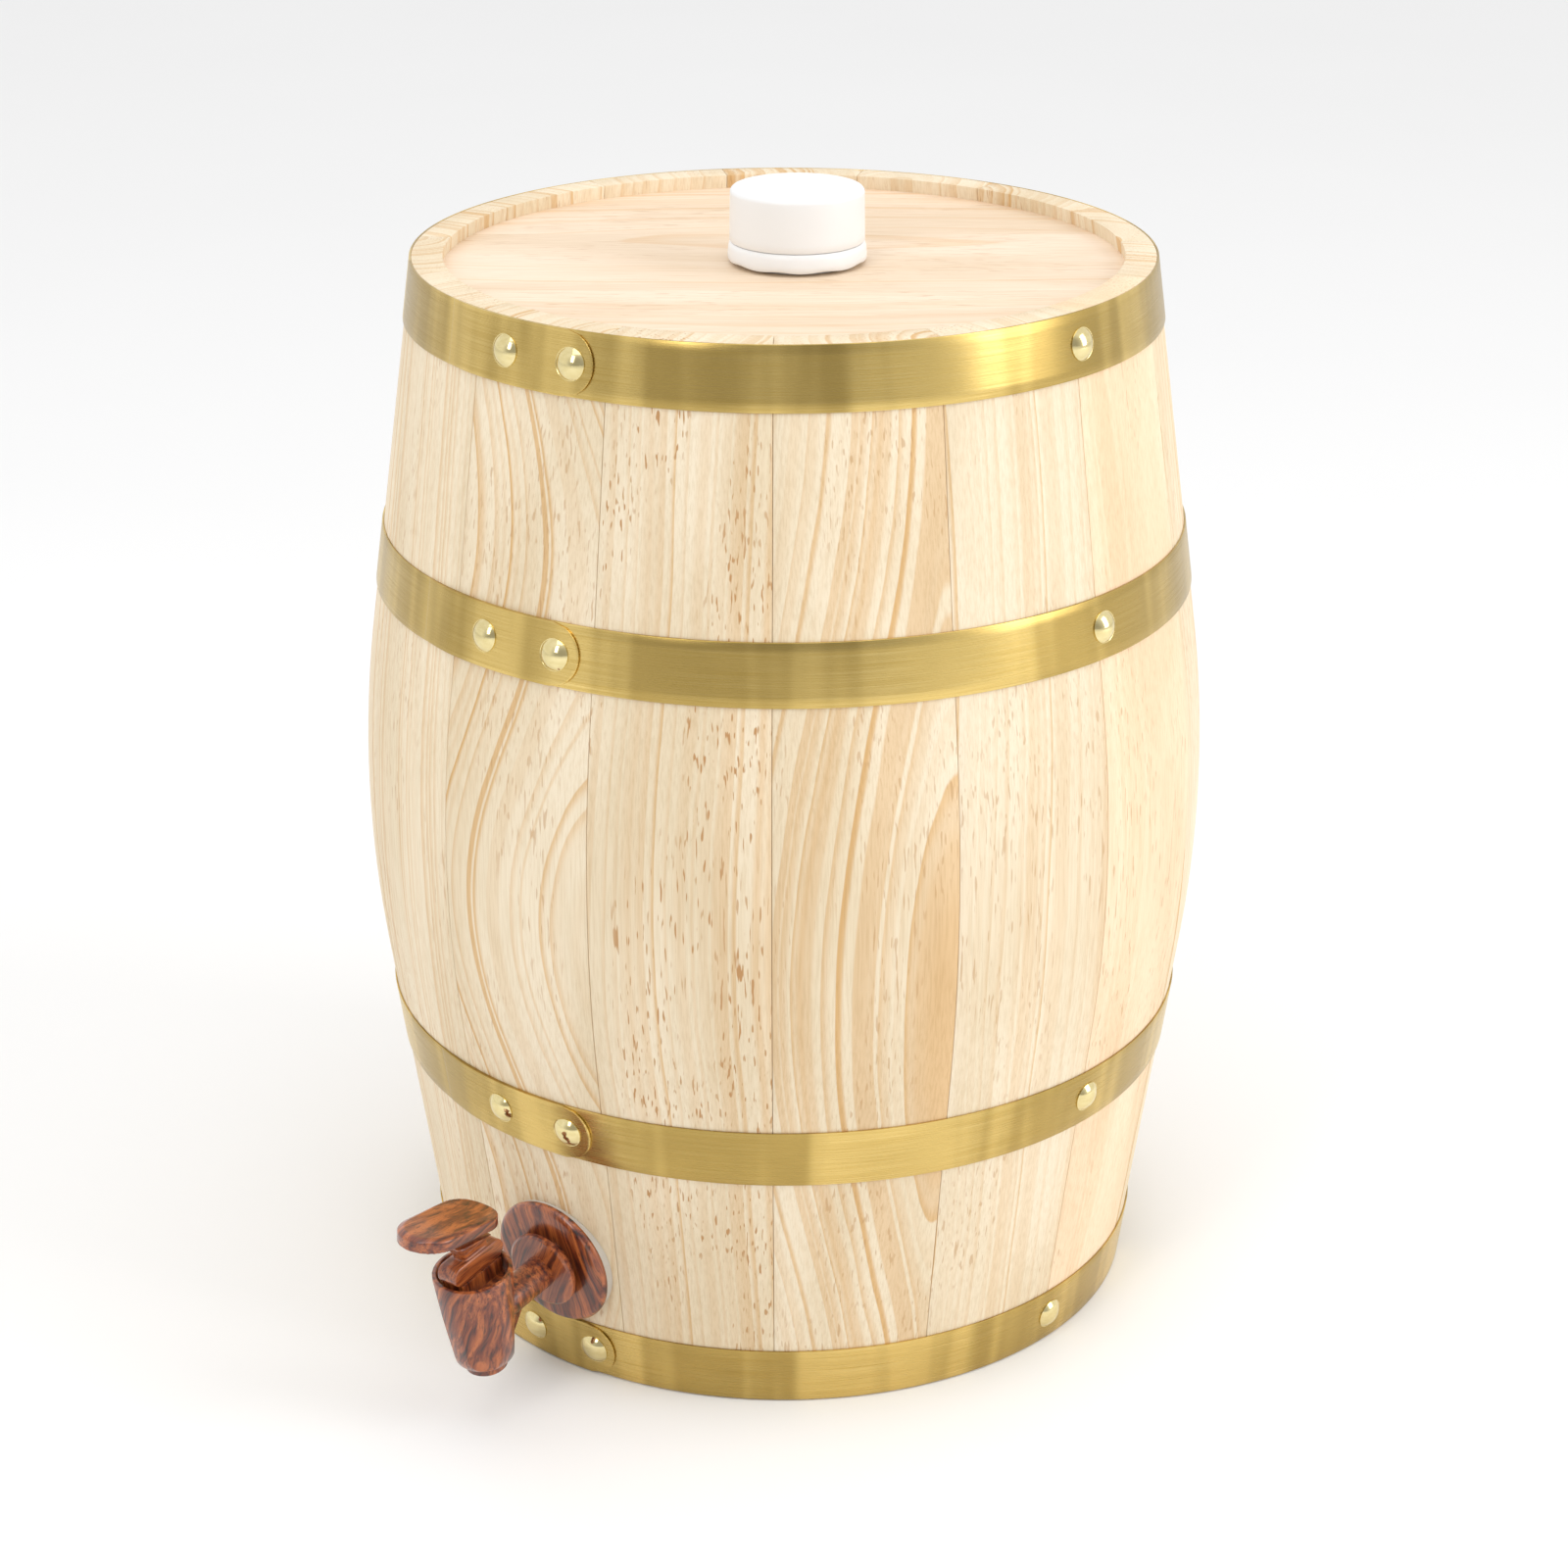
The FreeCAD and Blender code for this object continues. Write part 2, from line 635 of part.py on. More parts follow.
def inner_gasket_back():
    """Distance inwards from the stave's face to the back of the inner washer."""
    return STAVE_THICKNESS + BLADDER_GAP + BLADDER_WALL + INNER_GASKET_THICKNESS


def inner_gasket(inside):
    """Soft washer between the bladder and the lock nut."""
    back = inner_gasket_back()
    ring = along_shank(INNER_GASKET_RADIUS, -back, -STAVE_THICKNESS)
    return ring.cut(along_shank(SHANK_RADIUS, -back - MARGIN, 0)).common(inside)


def lock_nut():
    """Hexagon nut that pulls the tap tight from inside."""
    start = inner_gasket_back()
    corner = LOCK_NUT_FLATS / math.sqrt(3)
    angles = [math.radians(60 * i) for i in range(6)]
    points = [Vector(corner * math.cos(a), start, corner * math.sin(a)) for a in angles]
    prism = Part.Face(Part.makePolygon(points + points[:1])).extrude(Y_AXIS * LOCK_NUT_HEIGHT)
    return prism.cut(along_shank(SHANK_RADIUS, -SHANK_INSIDE, 0))


# Valve and lever


def bonnet():
    """Plug in the cup that guides the stem and carries the pad for the lever's cheek."""
    flange = upright(CUP_RADIUS - BONNET_CLEARANCE, CUP_FLOOR, BONNET_TOP)
    plug = upright(CHAMBER_RADIUS - BONNET_CLEARANCE, BONNET_BOTTOM, CUP_FLOOR)
    pad = Part.makeBox(
        2 * CAM_PAD_HALF_WIDTH, 2 * CAM_PAD_HALF_LENGTH, PAD_TOP - CUP_FLOOR,
        BODY_AXIS + Vector(-CAM_PAD_HALF_WIDTH, -CAM_PAD_HALF_LENGTH, CUP_FLOOR))
    solid = flange.fuse([plug, pad])
    groove = STEM_RADIUS + STEM_CLEARANCE + 2 * ORING_WIRE_RADIUS
    solid = solid.cut(upright(STEM_RADIUS + STEM_CLEARANCE, BONNET_BOTTOM - MARGIN, PAD_TOP + MARGIN))
    return solid.cut(upright(groove, BONNET_BOTTOM, BONNET_BOTTOM + 2 * ORING_WIRE_RADIUS)).removeSplitter()


def stem_oring():
    """Ring that keeps the stem tight in the bonnet."""
    centre = BODY_AXIS + Z_AXIS * (BONNET_BOTTOM + ORING_WIRE_RADIUS)
    return Part.makeTorus(STEM_RADIUS + STEM_CLEARANCE + ORING_WIRE_RADIUS, ORING_WIRE_RADIUS, centre, Z_AXIS)


def stem():
    """Valve stem: a disc over the seal, a round rod and a flat eye for the pin."""
    flat_low = PIN_HEIGHT - STEM_FLAT_DROP
    solid = upright(STEM_RADIUS, DISC_TOP, flat_low)
    eye = upright(STEM_RADIUS, flat_low, PIN_HEIGHT).fuse(
        Part.makeSphere(STEM_RADIUS, BODY_AXIS + Z_AXIS * PIN_HEIGHT))
    slab = Part.makeBox(
        2 * STEM_EYE_HALF_THICKNESS, 4 * STEM_RADIUS, STEM_FLAT_DROP + 2 * STEM_RADIUS,
        BODY_AXIS + Vector(-STEM_EYE_HALF_THICKNESS, -2 * STEM_RADIUS, flat_low))
    hole = rod(PIN_RADIUS + PIN_CLEARANCE, pin_end(-1), pin_end(1))
    eye = eye.common(slab).cut(hole)
    return solid.fuse([
        eye,
        upright(STEM_DISC_RADIUS, SEAL_TOP, DISC_TOP),
        upright(STEM_SPIGOT_RADIUS, SEAT_HEIGHT + MARGIN, SEAL_TOP),
    ]).removeSplitter()


def stem_seal():
    """Soft disc under the stem that closes the seat."""
    return upright(SEAL_RADIUS, SEAT_HEIGHT, SEAL_TOP).cut(
        upright(STEM_SPIGOT_RADIUS, SEAT_HEIGHT + MARGIN, SEAL_TOP))


def stem_spring():
    """Coil between the stem's disc and the bonnet that keeps the valve shut."""
    length = BONNET_BOTTOM - DISC_TOP - 2 * SPRING_WIRE_RADIUS
    path = Part.makeHelix(length / SPRING_TURNS, length, SPRING_RADIUS)
    ring = Part.Wire(Part.makeCircle(SPRING_WIRE_RADIUS, Vector(SPRING_RADIUS, 0, 0), Y_AXIS))
    coil = Part.Wire(path.Edges).makePipeShell([ring], True, True)
    coil.translate(BODY_AXIS + Z_AXIS * (DISC_TOP + SPRING_WIRE_RADIUS))
    return coil


def pin_end(side):
    """End of the lever's pin on one side."""
    return BODY_AXIS + Vector(side * CHEEK_HALF_THICKNESS, 0, PIN_HEIGHT)


def lever_pin():
    """Pin that joins the lever to the stem."""
    return rod(PIN_RADIUS, pin_end(-1), pin_end(1))


def cheek():
    """Rounded bar that rocks on the bonnet's pad."""
    width = 2 * CHEEK_HALF_THICKNESS
    ends = [
        Part.makeCylinder(CHEEK_RADIUS, width, pin_end(-1) + Y_AXIS * shift, X_AXIS)
        for shift in (-CHEEK_HALF_SPAN, CHEEK_HALF_SPAN)
    ]
    middle = Part.makeBox(
        width, 2 * CHEEK_HALF_SPAN, 2 * CHEEK_RADIUS,
        pin_end(-1) - Vector(0, CHEEK_HALF_SPAN, CHEEK_RADIUS))
    return middle.fuse(ends)


def paddle_wire(inset, z):
    """Outline of the paddle: straight sides, a round front and a round back."""
    half = PADDLE_HALF_WIDTH - inset
    front = PADDLE_FRONT - PADDLE_HALF_WIDTH
    back = PADDLE_BACK + PADDLE_HALF_WIDTH
    a, b = Vector(-half, -front, z), Vector(half, -front, z)
    c, d = Vector(half, -back, z), Vector(-half, -back, z)
    return Part.Wire([
        Part.Arc(a, Vector(0, -front - half, z), b).toShape(),
        line(b, c),
        Part.Arc(c, Vector(0, -back + half, z), d).toShape(),
        line(d, a),
    ])


def paddle():
    """Broad thumb plate with a lip round its front edge, tilted up at the front."""
    plate = Part.Face(paddle_wire(0, -PADDLE_THICKNESS)).extrude(Z_AXIS * PADDLE_THICKNESS)
    round_edges = [e for e in plate.Edges if e.BoundBox.ZLength < EDGE_TOLERANCE]
    plate = plate.makeFillet(PADDLE_ROUND, round_edges)
    lip = Part.Face(paddle_wire(PADDLE_ROUND, -PADDLE_ROUND)).extrude(Z_AXIS * (PADDLE_LIP_HEIGHT + PADDLE_ROUND))
    hollow = Part.Face(paddle_wire(PADDLE_ROUND + PADDLE_LIP_WIDTH, -2 * PADDLE_ROUND))
    lip = lip.cut(hollow.extrude(Z_AXIS * (PADDLE_LIP_HEIGHT + 4 * PADDLE_ROUND)))
    front = PADDLE_FRONT - PADDLE_HALF_WIDTH
    reach = 2 * PADDLE_HALF_WIDTH
    lip = lip.common(Part.makeBox(2 * reach, reach, reach, Vector(-reach, -front - reach, -reach / 2)))
    plate = plate.fuse(lip)
    plate.rotate(ORIGIN, X_AXIS, -PADDLE_TILT_DEG)
    plate.translate(BODY_AXIS + Z_AXIS * PADDLE_HEIGHT)
    return plate


def lever():
    """Lever: the cheek, a web and the paddle in one, slotted for the stem's eye."""
    top = PADDLE_HEIGHT - PADDLE_THICKNESS / 2
    slope = math.tan(math.radians(PADDLE_TILT_DEG))
    corners = [
        Vector(-WEB_HALF_THICKNESS, -WEB_FRONT, PIN_HEIGHT),
        Vector(-WEB_HALF_THICKNESS, -WEB_BACK, PIN_HEIGHT),
        Vector(-WEB_HALF_THICKNESS, -WEB_BACK, top + slope * WEB_BACK),
        Vector(-WEB_HALF_THICKNESS, -WEB_FRONT, top + slope * WEB_FRONT),
    ]
    web = Part.Face(Part.makePolygon(corners + corners[:1])).extrude(X_AXIS * 2 * WEB_HALF_THICKNESS)
    web.translate(BODY_AXIS)
    solid = cheek().fuse([web, paddle()])
    half = STEM_EYE_HALF_THICKNESS + LEVER_SLOT_CLEARANCE
    slot_half = STEM_RADIUS + CHEEK_RADIUS
    slot = Part.makeBox(
        2 * half, 2 * slot_half, CHEEK_RADIUS + STEM_RADIUS + MARGIN + LEVER_SLOT_CLEARANCE,
        BODY_AXIS + Vector(-half, -slot_half, PIN_HEIGHT - CHEEK_RADIUS - MARGIN))
    return solid.cut(slot).cut(lever_pin()).removeSplitter()


def build():
    """Make every piece, by node name."""
    parts = {}
    upper_head = head_disc()
    lower_head = turned_over(upper_head)
    shank_hole = along_shank(SHANK_RADIUS, -SHANK_INSIDE, ESCUTCHEON_FRONT)
    tap_hole = leaned(shank_hole)
    levels = hoop_levels()
    shanks = [
        nail_shank(angle, level + HOOP_WIDTH / 2, layers)
        for level in levels.values() for angle, layers in nail_angles()
    ]

    sweep = 360.0 / STAVE_COUNT
    grooves = Part.Compound([upper_head, lower_head])
    for index in range(STAVE_COUNT):
        start = turn_from_front(FIRST_SEAM_DEG + index * sweep)
        stave = side_band(0, HEIGHT, -STAVE_THICKNESS, 0, start, sweep)
        stave = stave.cut(grooves).cut(tap_hole)
        near = [s for s in shanks if s.BoundBox.intersect(stave.BoundBox)]
        if near:
            stave = stave.cut(Part.Compound(near))
        parts["stave_%02d" % (index + 1)] = stave

    neck_hole = rod(NECK_RADIUS + NECK_HOLE_CLEARANCE, NECK_AXIS, NECK_AXIS + Z_AXIS * HEIGHT)
    for number, board in enumerate(head_boards(upper_head), 1):
        parts["top_head_board_%d" % number] = board.cut(neck_hole)
    for number, board in enumerate(head_boards(lower_head), 1):
        parts["bottom_head_board_%d" % number] = board

    for name, level in levels.items():
        middle = level + HOOP_WIDTH / 2
        ring = hoop(level)
        own = [nail_shank(angle, middle, layers) for angle, layers in nail_angles()]
        parts["hoop_" + name] = ring.cut(Part.Compound(own))
        parts["hoop_nails_" + name] = Part.Compound([
            nail(angle, middle, layers) for angle, layers in nail_angles()
        ])

    parts["liner_bladder"] = bladder().cut(tap_hole)
    parts["liner_neck"] = liner_neck()
    parts["cap_tamper_ring"] = tamper_ring()
    parts["cap_seal_wad"] = cap_wad()
    parts["cap"] = cap()

    barrel = levelled(side_core(0, HEIGHT, 0))
    level_parts = {
        "tap_outer_gasket": outer_gasket(barrel),
        "tap_escutcheon": escutcheon(),
        "tap_body": tap_body(),
        "tap_inner_gasket": inner_gasket(levelled(bladder_inside())),
        "tap_lock_nut": lock_nut(),
        "tap_bonnet": bonnet(),
        "stem_oring": stem_oring(),
        "valve_stem": stem(),
        "stem_seal": stem_seal(),
        "stem_spring": stem_spring(),
        "lever_pin": lever_pin(),
        "tap_lever": lever(),
    }
    for name, shape in level_parts.items():
        parts[name] = leaned(shape)
    return parts


def main():
    """Write each piece to its own file."""
    os.makedirs("parts", exist_ok=True)
    for name, shape in build().items():
        solids = shape.Solids
        if len(solids) == 1:
            shape = solids[0]
        print(name, len(solids), shape.isValid(), round(shape.Volume, 1))
        shape.exportStep("parts/%s.step" % name)


main()
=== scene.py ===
"""Looks of the pine barrel dispenser, built around its packed construction.

Lengths are in metres.  +Z is up, the tap points to -Y, and an azimuth is counted from the tap's
direction towards +X.  Each sub-assembly is a class that models its own pieces and dresses them.
"""
import logging
import math
import random
from dataclasses import dataclass, field
from enum import Enum
from typing import Callable, Iterable, Optional, Sequence

import bmesh
import bpy
from mathutils import Matrix, Vector

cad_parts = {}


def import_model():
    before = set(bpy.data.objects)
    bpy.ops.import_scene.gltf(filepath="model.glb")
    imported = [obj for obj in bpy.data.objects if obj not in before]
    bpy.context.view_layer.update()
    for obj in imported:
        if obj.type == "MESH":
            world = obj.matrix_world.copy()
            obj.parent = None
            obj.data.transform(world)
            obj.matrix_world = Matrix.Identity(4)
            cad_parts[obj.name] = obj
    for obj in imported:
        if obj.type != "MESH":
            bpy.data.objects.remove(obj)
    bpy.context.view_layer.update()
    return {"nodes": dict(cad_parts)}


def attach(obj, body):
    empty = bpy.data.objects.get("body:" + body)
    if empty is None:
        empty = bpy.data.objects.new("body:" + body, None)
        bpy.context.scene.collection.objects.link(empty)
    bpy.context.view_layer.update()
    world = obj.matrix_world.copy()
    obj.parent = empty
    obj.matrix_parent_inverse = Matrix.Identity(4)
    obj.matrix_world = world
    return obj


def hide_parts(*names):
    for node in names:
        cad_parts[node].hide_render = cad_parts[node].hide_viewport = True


LOG = logging.getLogger("barrel")
MM = 0.001
MERGE = 0.001 * MM
FULL_TURN = 2 * math.pi
Colour = tuple[float, float, float, float]
Corners = Sequence[tuple[float, float]]
Mesh = bmesh.types.BMesh
Socket = bpy.types.NodeSocket
Nodes = dict[str, bpy.types.Object]


class Finish(Enum):
    """Named finishes that plain carried-over pieces choose from."""

    WHITE_MOULDING = "white_moulding"
    BLADDER_FILM = "bladder_film"
    SILICONE = "silicone"
    BLACK_MOULDING = "black_moulding"
    BRIGHT_STEEL = "bright_steel"


# Shape of the barrel's side


@dataclass(frozen=True)
class BarrelSide:
    """Side profile of the barrel: straight tapers joined by one arc."""

    height: float = 384.0 * MM
    end_radius: float = 128.6 * MM
    bulge: float = 22.8 * MM
    bend_half_height: float = 59.0 * MM
    wall: float = 10.8 * MM

    @property
    def taper(self) -> float:
        """Angle of the straight ends, found by halving."""
        low, high = 0.0, math.radians(45)
        for _ in range(60):
            angle = (low + high) / 2
            rise = self.bend_half_height * math.tan(angle / 2)
            rise += (self.height / 2 - self.bend_half_height) * math.tan(angle)
            low, high = (angle, high) if rise < self.bulge else (low, angle)
        return (low + high) / 2

    def radius(self, z: float, offset: float = 0.0) -> float:
        """Radius at a height.

        Args:
            z: Height above the base.
            offset: Distance outwards, square to the wood.

        Returns:
            The radius in metres.
        """
        taper = self.taper
        arc = self.bend_half_height / math.sin(taper)
        centre = self.end_radius + self.bulge - arc
        rise = abs(z - self.height / 2)
        if rise < (arc + offset) * math.sin(taper):
            return centre + math.sqrt((arc + offset) ** 2 - rise ** 2)
        return self.end_radius + (self.height / 2 - rise) * math.tan(taper) + offset / math.cos(taper)

    def point(self, azimuth: float, z: float, offset: float = 0.0) -> Vector:
        """Point on the side.

        Args:
            azimuth: Angle from the tap's direction towards +X, in radians.
            z: Height above the base.
            offset: Distance outwards, square to the wood.

        Returns:
            The point in the part's frame.
        """
        radius = self.radius(z, offset)
        return Vector((radius * math.sin(azimuth), -radius * math.cos(azimuth), z))

    def normal(self, azimuth: float, z: float) -> Vector:
        """Outward direction square to the wood.

        Args:
            azimuth: Angle from the tap's direction towards +X, in radians.
            z: Height above the base.

        Returns:
            A unit vector.
        """
        step = 0.5 * MM
        slope = (self.radius(z + step) - self.radius(z - step)) / (2 * step)
        out = Vector((math.sin(azimuth), -math.cos(azimuth), -slope))
        return out.normalized()


SIDE = BarrelSide()


# Mesh helpers


def new_piece(name: str, bm: Mesh, smooth_deg: float = 35.0) -> bpy.types.Object:
    """Turn a bmesh into an object at the origin, smooth but for its sharp edges.

    Args:
        name: Name of the piece.
        bm: The mesh, which is freed.
        smooth_deg: Edges that turn by more than this stay sharp.

    Returns:
        The new object.
    """
    limit = math.radians(smooth_deg)
    bm.normal_update()
    for face in bm.faces:
        face.smooth = True
    for edge in bm.edges:
        edge.smooth = len(edge.link_faces) == 2 and edge.calc_face_angle(0.0) < limit
    mesh = bpy.data.meshes.new(name)
    bm.to_mesh(mesh)
    bm.free()
    piece = bpy.data.objects.new(name, mesh)
    bpy.context.scene.collection.objects.link(piece)
    return piece


def swept(bm: Mesh, geometry: list, sweep: float, steps: int) -> Mesh:
    """Spin an outline about Z into a closed mesh.

    Args:
        bm: The mesh that holds the outline.
        geometry: The outline's corners and edges for a full turn, or its face for a part of one.
        sweep: Angle of the spin.
        steps: Number of steps.

    Returns:
        The same mesh, closed and facing outwards.
    """
    whole = abs(sweep - FULL_TURN) < 1e-6
    bmesh.ops.spin(
        bm, geom=geometry, cent=(0, 0, 0), axis=(0, 0, 1), angle=sweep, steps=steps,
        use_merge=whole, use_duplicate=False)
    bmesh.ops.remove_doubles(bm, verts=bm.verts, dist=MERGE)
    bmesh.ops.recalc_face_normals(bm, faces=bm.faces)
    return bm


def spun(points: Corners, start: float, sweep: float, steps: int) -> Mesh:
    """Spin a closed outline about Z.

    Args:
        points: (radius, height) corners of a closed outline, without a repeated last corner.
        start: Azimuth where the spin starts, in radians.
        sweep: Angle of the spin; a full turn is merged.
        steps: Number of steps.

    Returns:
        A closed mesh.
    """
    bm = bmesh.new()
    verts = [bm.verts.new((r * math.sin(start), -r * math.cos(start), z)) for r, z in points]
    if sweep < FULL_TURN:
        return swept(bm, [bm.faces.new(verts)], sweep, steps)
    edges = [bm.edges.new((a, b)) for a, b in zip(verts, verts[1:] + verts[:1])]
    return swept(bm, verts + edges, sweep, steps)


def turned(points: Corners, steps: int = 96) -> Mesh:
    """Full turn of a closed outline; no edge is made along the axis.

    Args:
        points: (radius, height) corners.
        steps: Steps in the turn.

    Returns:
        A closed mesh.
    """
    bm = bmesh.new()
    verts = [bm.verts.new((r, 0, z)) for r, z in points]
    pairs = zip(verts, verts[1:] + verts[:1])
    edges = [bm.edges.new((a, b)) for a, b in pairs if a.co.x + b.co.x > 0]
    return swept(bm, verts + edges, FULL_TURN, steps)


def soften(bm: Mesh, offset: float, segments: int = 2, angle_deg: float = 40.0) -> None:
    """Round the sharp edges of a mesh.

    Args:
        bm: The mesh.
        offset: Width of the rounding.
        segments: Faces across it.
        angle_deg: Only edges that turn by more than this are rounded.
    """
    limit = math.radians(angle_deg)
    bm.normal_update()
    sharp = [e for e in bm.edges if len(e.link_faces) == 2 and e.calc_face_angle(0.0) > limit]
    bmesh.ops.bevel(
        bm, geom=sharp, offset=offset, offset_type="OFFSET", segments=segments, profile=0.5,
        affect="EDGES", clamp_overlap=True, material=-1)


def carried(bm: Mesh, matrix: Matrix) -> Mesh:
    """Move a whole mesh, and give it back."""
    bmesh.ops.transform(bm, matrix=matrix, verts=bm.verts)
    return bm


def joined(parts: Iterable[Mesh]) -> Mesh:
    """Put several meshes into one, each left a closed shell.

    Args:
        parts: The meshes, which are freed.

    Returns:
        The joined mesh.
    """
    whole = bmesh.new()
    for part in parts:
        mesh = bpy.data.meshes.new("scratch")
        part.to_mesh(mesh)
        part.free()
        whole.from_mesh(mesh)
        bpy.data.meshes.remove(mesh)
    return whole


def cylinder(radius: float, depth: float, place: Matrix, segments: int = 64) -> Mesh:
    """Closed cylinder along its local Z, from z=0 up to its depth.

    Args:
        radius: Its radius.
        depth: Its length.
        place: Where it goes.
        segments: Sides.

    Returns:
        The mesh.
    """
    bm = bmesh.new()
    bmesh.ops.create_cone(
        bm, cap_ends=True, segments=segments, radius1=radius, radius2=radius, depth=depth,
        matrix=place @ Matrix.Translation((0, 0, depth / 2)))
    return bm


def fused(name: str, bm: Mesh, voxel: float, passes: int) -> Mesh:
    """Melt overlapping shells into one moulded skin with soft inner corners.

    Args:
        name: Name for the scratch object.
        bm: The overlapping shells, which are freed.
        voxel: Size of the remesh.
        passes: Rounds of smoothing.

    Returns:
        One closed skin.
    """
    scratch = new_piece(name + "_scratch", bm)
    remesh = scratch.modifiers.new("melt", "REMESH")
    remesh.mode = "VOXEL"
    remesh.voxel_size = voxel
    remesh.adaptivity = 0.0
    graph = bpy.context.evaluated_depsgraph_get()
    mesh = bpy.data.meshes.new_from_object(scratch.evaluated_get(graph))
    melted = bmesh.new()
    melted.from_mesh(mesh)
    bpy.data.objects.remove(scratch)
    bpy.data.meshes.remove(mesh)
    for _ in range(passes):
        bmesh.ops.smooth_vert(
            melted, verts=melted.verts, factor=0.5, use_axis_x=True, use_axis_y=True, use_axis_z=True)
    bmesh.ops.recalc_face_normals(melted, faces=melted.faces)
    return melted


# Node helpers


class Graph:
    """Adds nodes to one node tree and links them."""

    def __init__(self, tree: bpy.types.NodeTree) -> None:
        """Keep the tree that nodes go into."""
        self.tree = tree

    def node(self, kind: str, inputs: Optional[dict] = None, **settings: object) -> bpy.types.Node:
        """Add one node.

        Args:
            kind: Its type name.
            inputs: Values or sockets for its inputs, by name or number.
            **settings: Properties to set first.

        Returns:
            The node.
        """
        node = self.tree.nodes.new(kind)
        for key, value in settings.items():
            setattr(node, key, value)
        for key, value in (inputs or {}).items():
            self.feed(node, key, value)
        return node

    def feed(self, node: bpy.types.Node, key: object, value: object) -> None:
        """Set one input of a node, or link a socket to it."""
        if isinstance(value, Socket):
            self.tree.links.new(value, node.inputs[key])
        else:
            node.inputs[key].default_value = value

    def math(self, operation: str, *values: object, clamp: bool = False) -> Socket:
        """One sum on numbers, and its result."""
        inputs = dict(enumerate(values))
        return self.node("ShaderNodeMath", inputs, operation=operation, use_clamp=clamp).outputs[0]

    def times(self, a: object, b: object) -> Socket:
        """Product of two numbers."""
        return self.math("MULTIPLY", a, b)

    def plus(self, a: object, b: object) -> Socket:
        """Sum of two numbers."""
        return self.math("ADD", a, b)

    def minus(self, a: object, b: object) -> Socket:
        """Difference of two numbers."""
        return self.math("SUBTRACT", a, b)

    def vector(self, operation: str, *values: object) -> Socket:
        """One sum on vectors, and its result."""
        return self.node("ShaderNodeVectorMath", dict(enumerate(values)), operation=operation).outputs[0]

    def millimetres(self, vector: object) -> Socket:
        """Coordinates in millimetres."""
        scaled = self.vector("SCALE", vector)
        scaled.node.inputs["Scale"].default_value = 1 / MM
        return scaled

    def build_xyz(self, x: object, y: object, z: object = 0.0) -> Socket:
        """Vector from three numbers."""
        return self.node("ShaderNodeCombineXYZ", {"X": x, "Y": y, "Z": z}).outputs[0]

    def split_xyz(self, vector: object) -> bpy.types.bpy_prop_collection:
        """Three numbers of a vector."""
        return self.node("ShaderNodeSeparateXYZ", {"Vector": vector}).outputs

    def noise(
            self, vector: object, scale: float, detail: float = 2.0,
            rough: float = 0.5) -> Socket:
        """Smooth noise between 0 and 1."""
        inputs = {"Vector": vector, "Scale": scale, "Detail": detail, "Roughness": rough}
        return self.node("ShaderNodeTexNoise", inputs).outputs["Fac"]

    def span(
            self, value: object, low: float, high: float, to_low: float = 0.0,
            to_high: float = 1.0) -> Socket:
        """Smooth step of a value between two limits."""
        inputs = {"Value": value, "From Min": low, "From Max": high, "To Min": to_low, "To Max": to_high}
        return self.node("ShaderNodeMapRange", inputs, interpolation_type="SMOOTHSTEP").outputs["Result"]

    def mix(self, share: object, a: object, b: object, blend: str = "MIX") -> Socket:
        """Mix of two colours."""
        node = self.node("ShaderNodeMix", data_type="RGBA", blend_type=blend)
        for index, value in ((0, share), (6, a), (7, b)):
            self.feed(node, index, value)
        return node.outputs[2]


def new_group(
        name: str, inputs: dict[str, str], outputs: dict[str, str],
        fill: Callable[[Graph, dict], dict]) -> bpy.types.NodeTree:
    """Make one shared shader group.

    Args:
        name: Its name.
        inputs: Socket types by input name.
        outputs: Socket types by output name.
        fill: Adds the nodes; it gets the graph and the input sockets, and gives sockets by output name.

    Returns:
        The group.
    """
    tree = bpy.data.node_groups.new(name, "ShaderNodeTree")
    for key, kind in inputs.items():
        tree.interface.new_socket(key, in_out="INPUT", socket_type="NodeSocket" + kind)
    for key, kind in outputs.items():
        tree.interface.new_socket(key, in_out="OUTPUT", socket_type="NodeSocket" + kind)
    source = tree.nodes.new("NodeGroupInput")
    target = tree.nodes.new("NodeGroupOutput")
    for key, socket in fill(Graph(tree), {key: source.outputs[key] for key in inputs}).items():
        tree.links.new(socket, target.inputs[key])
    return tree


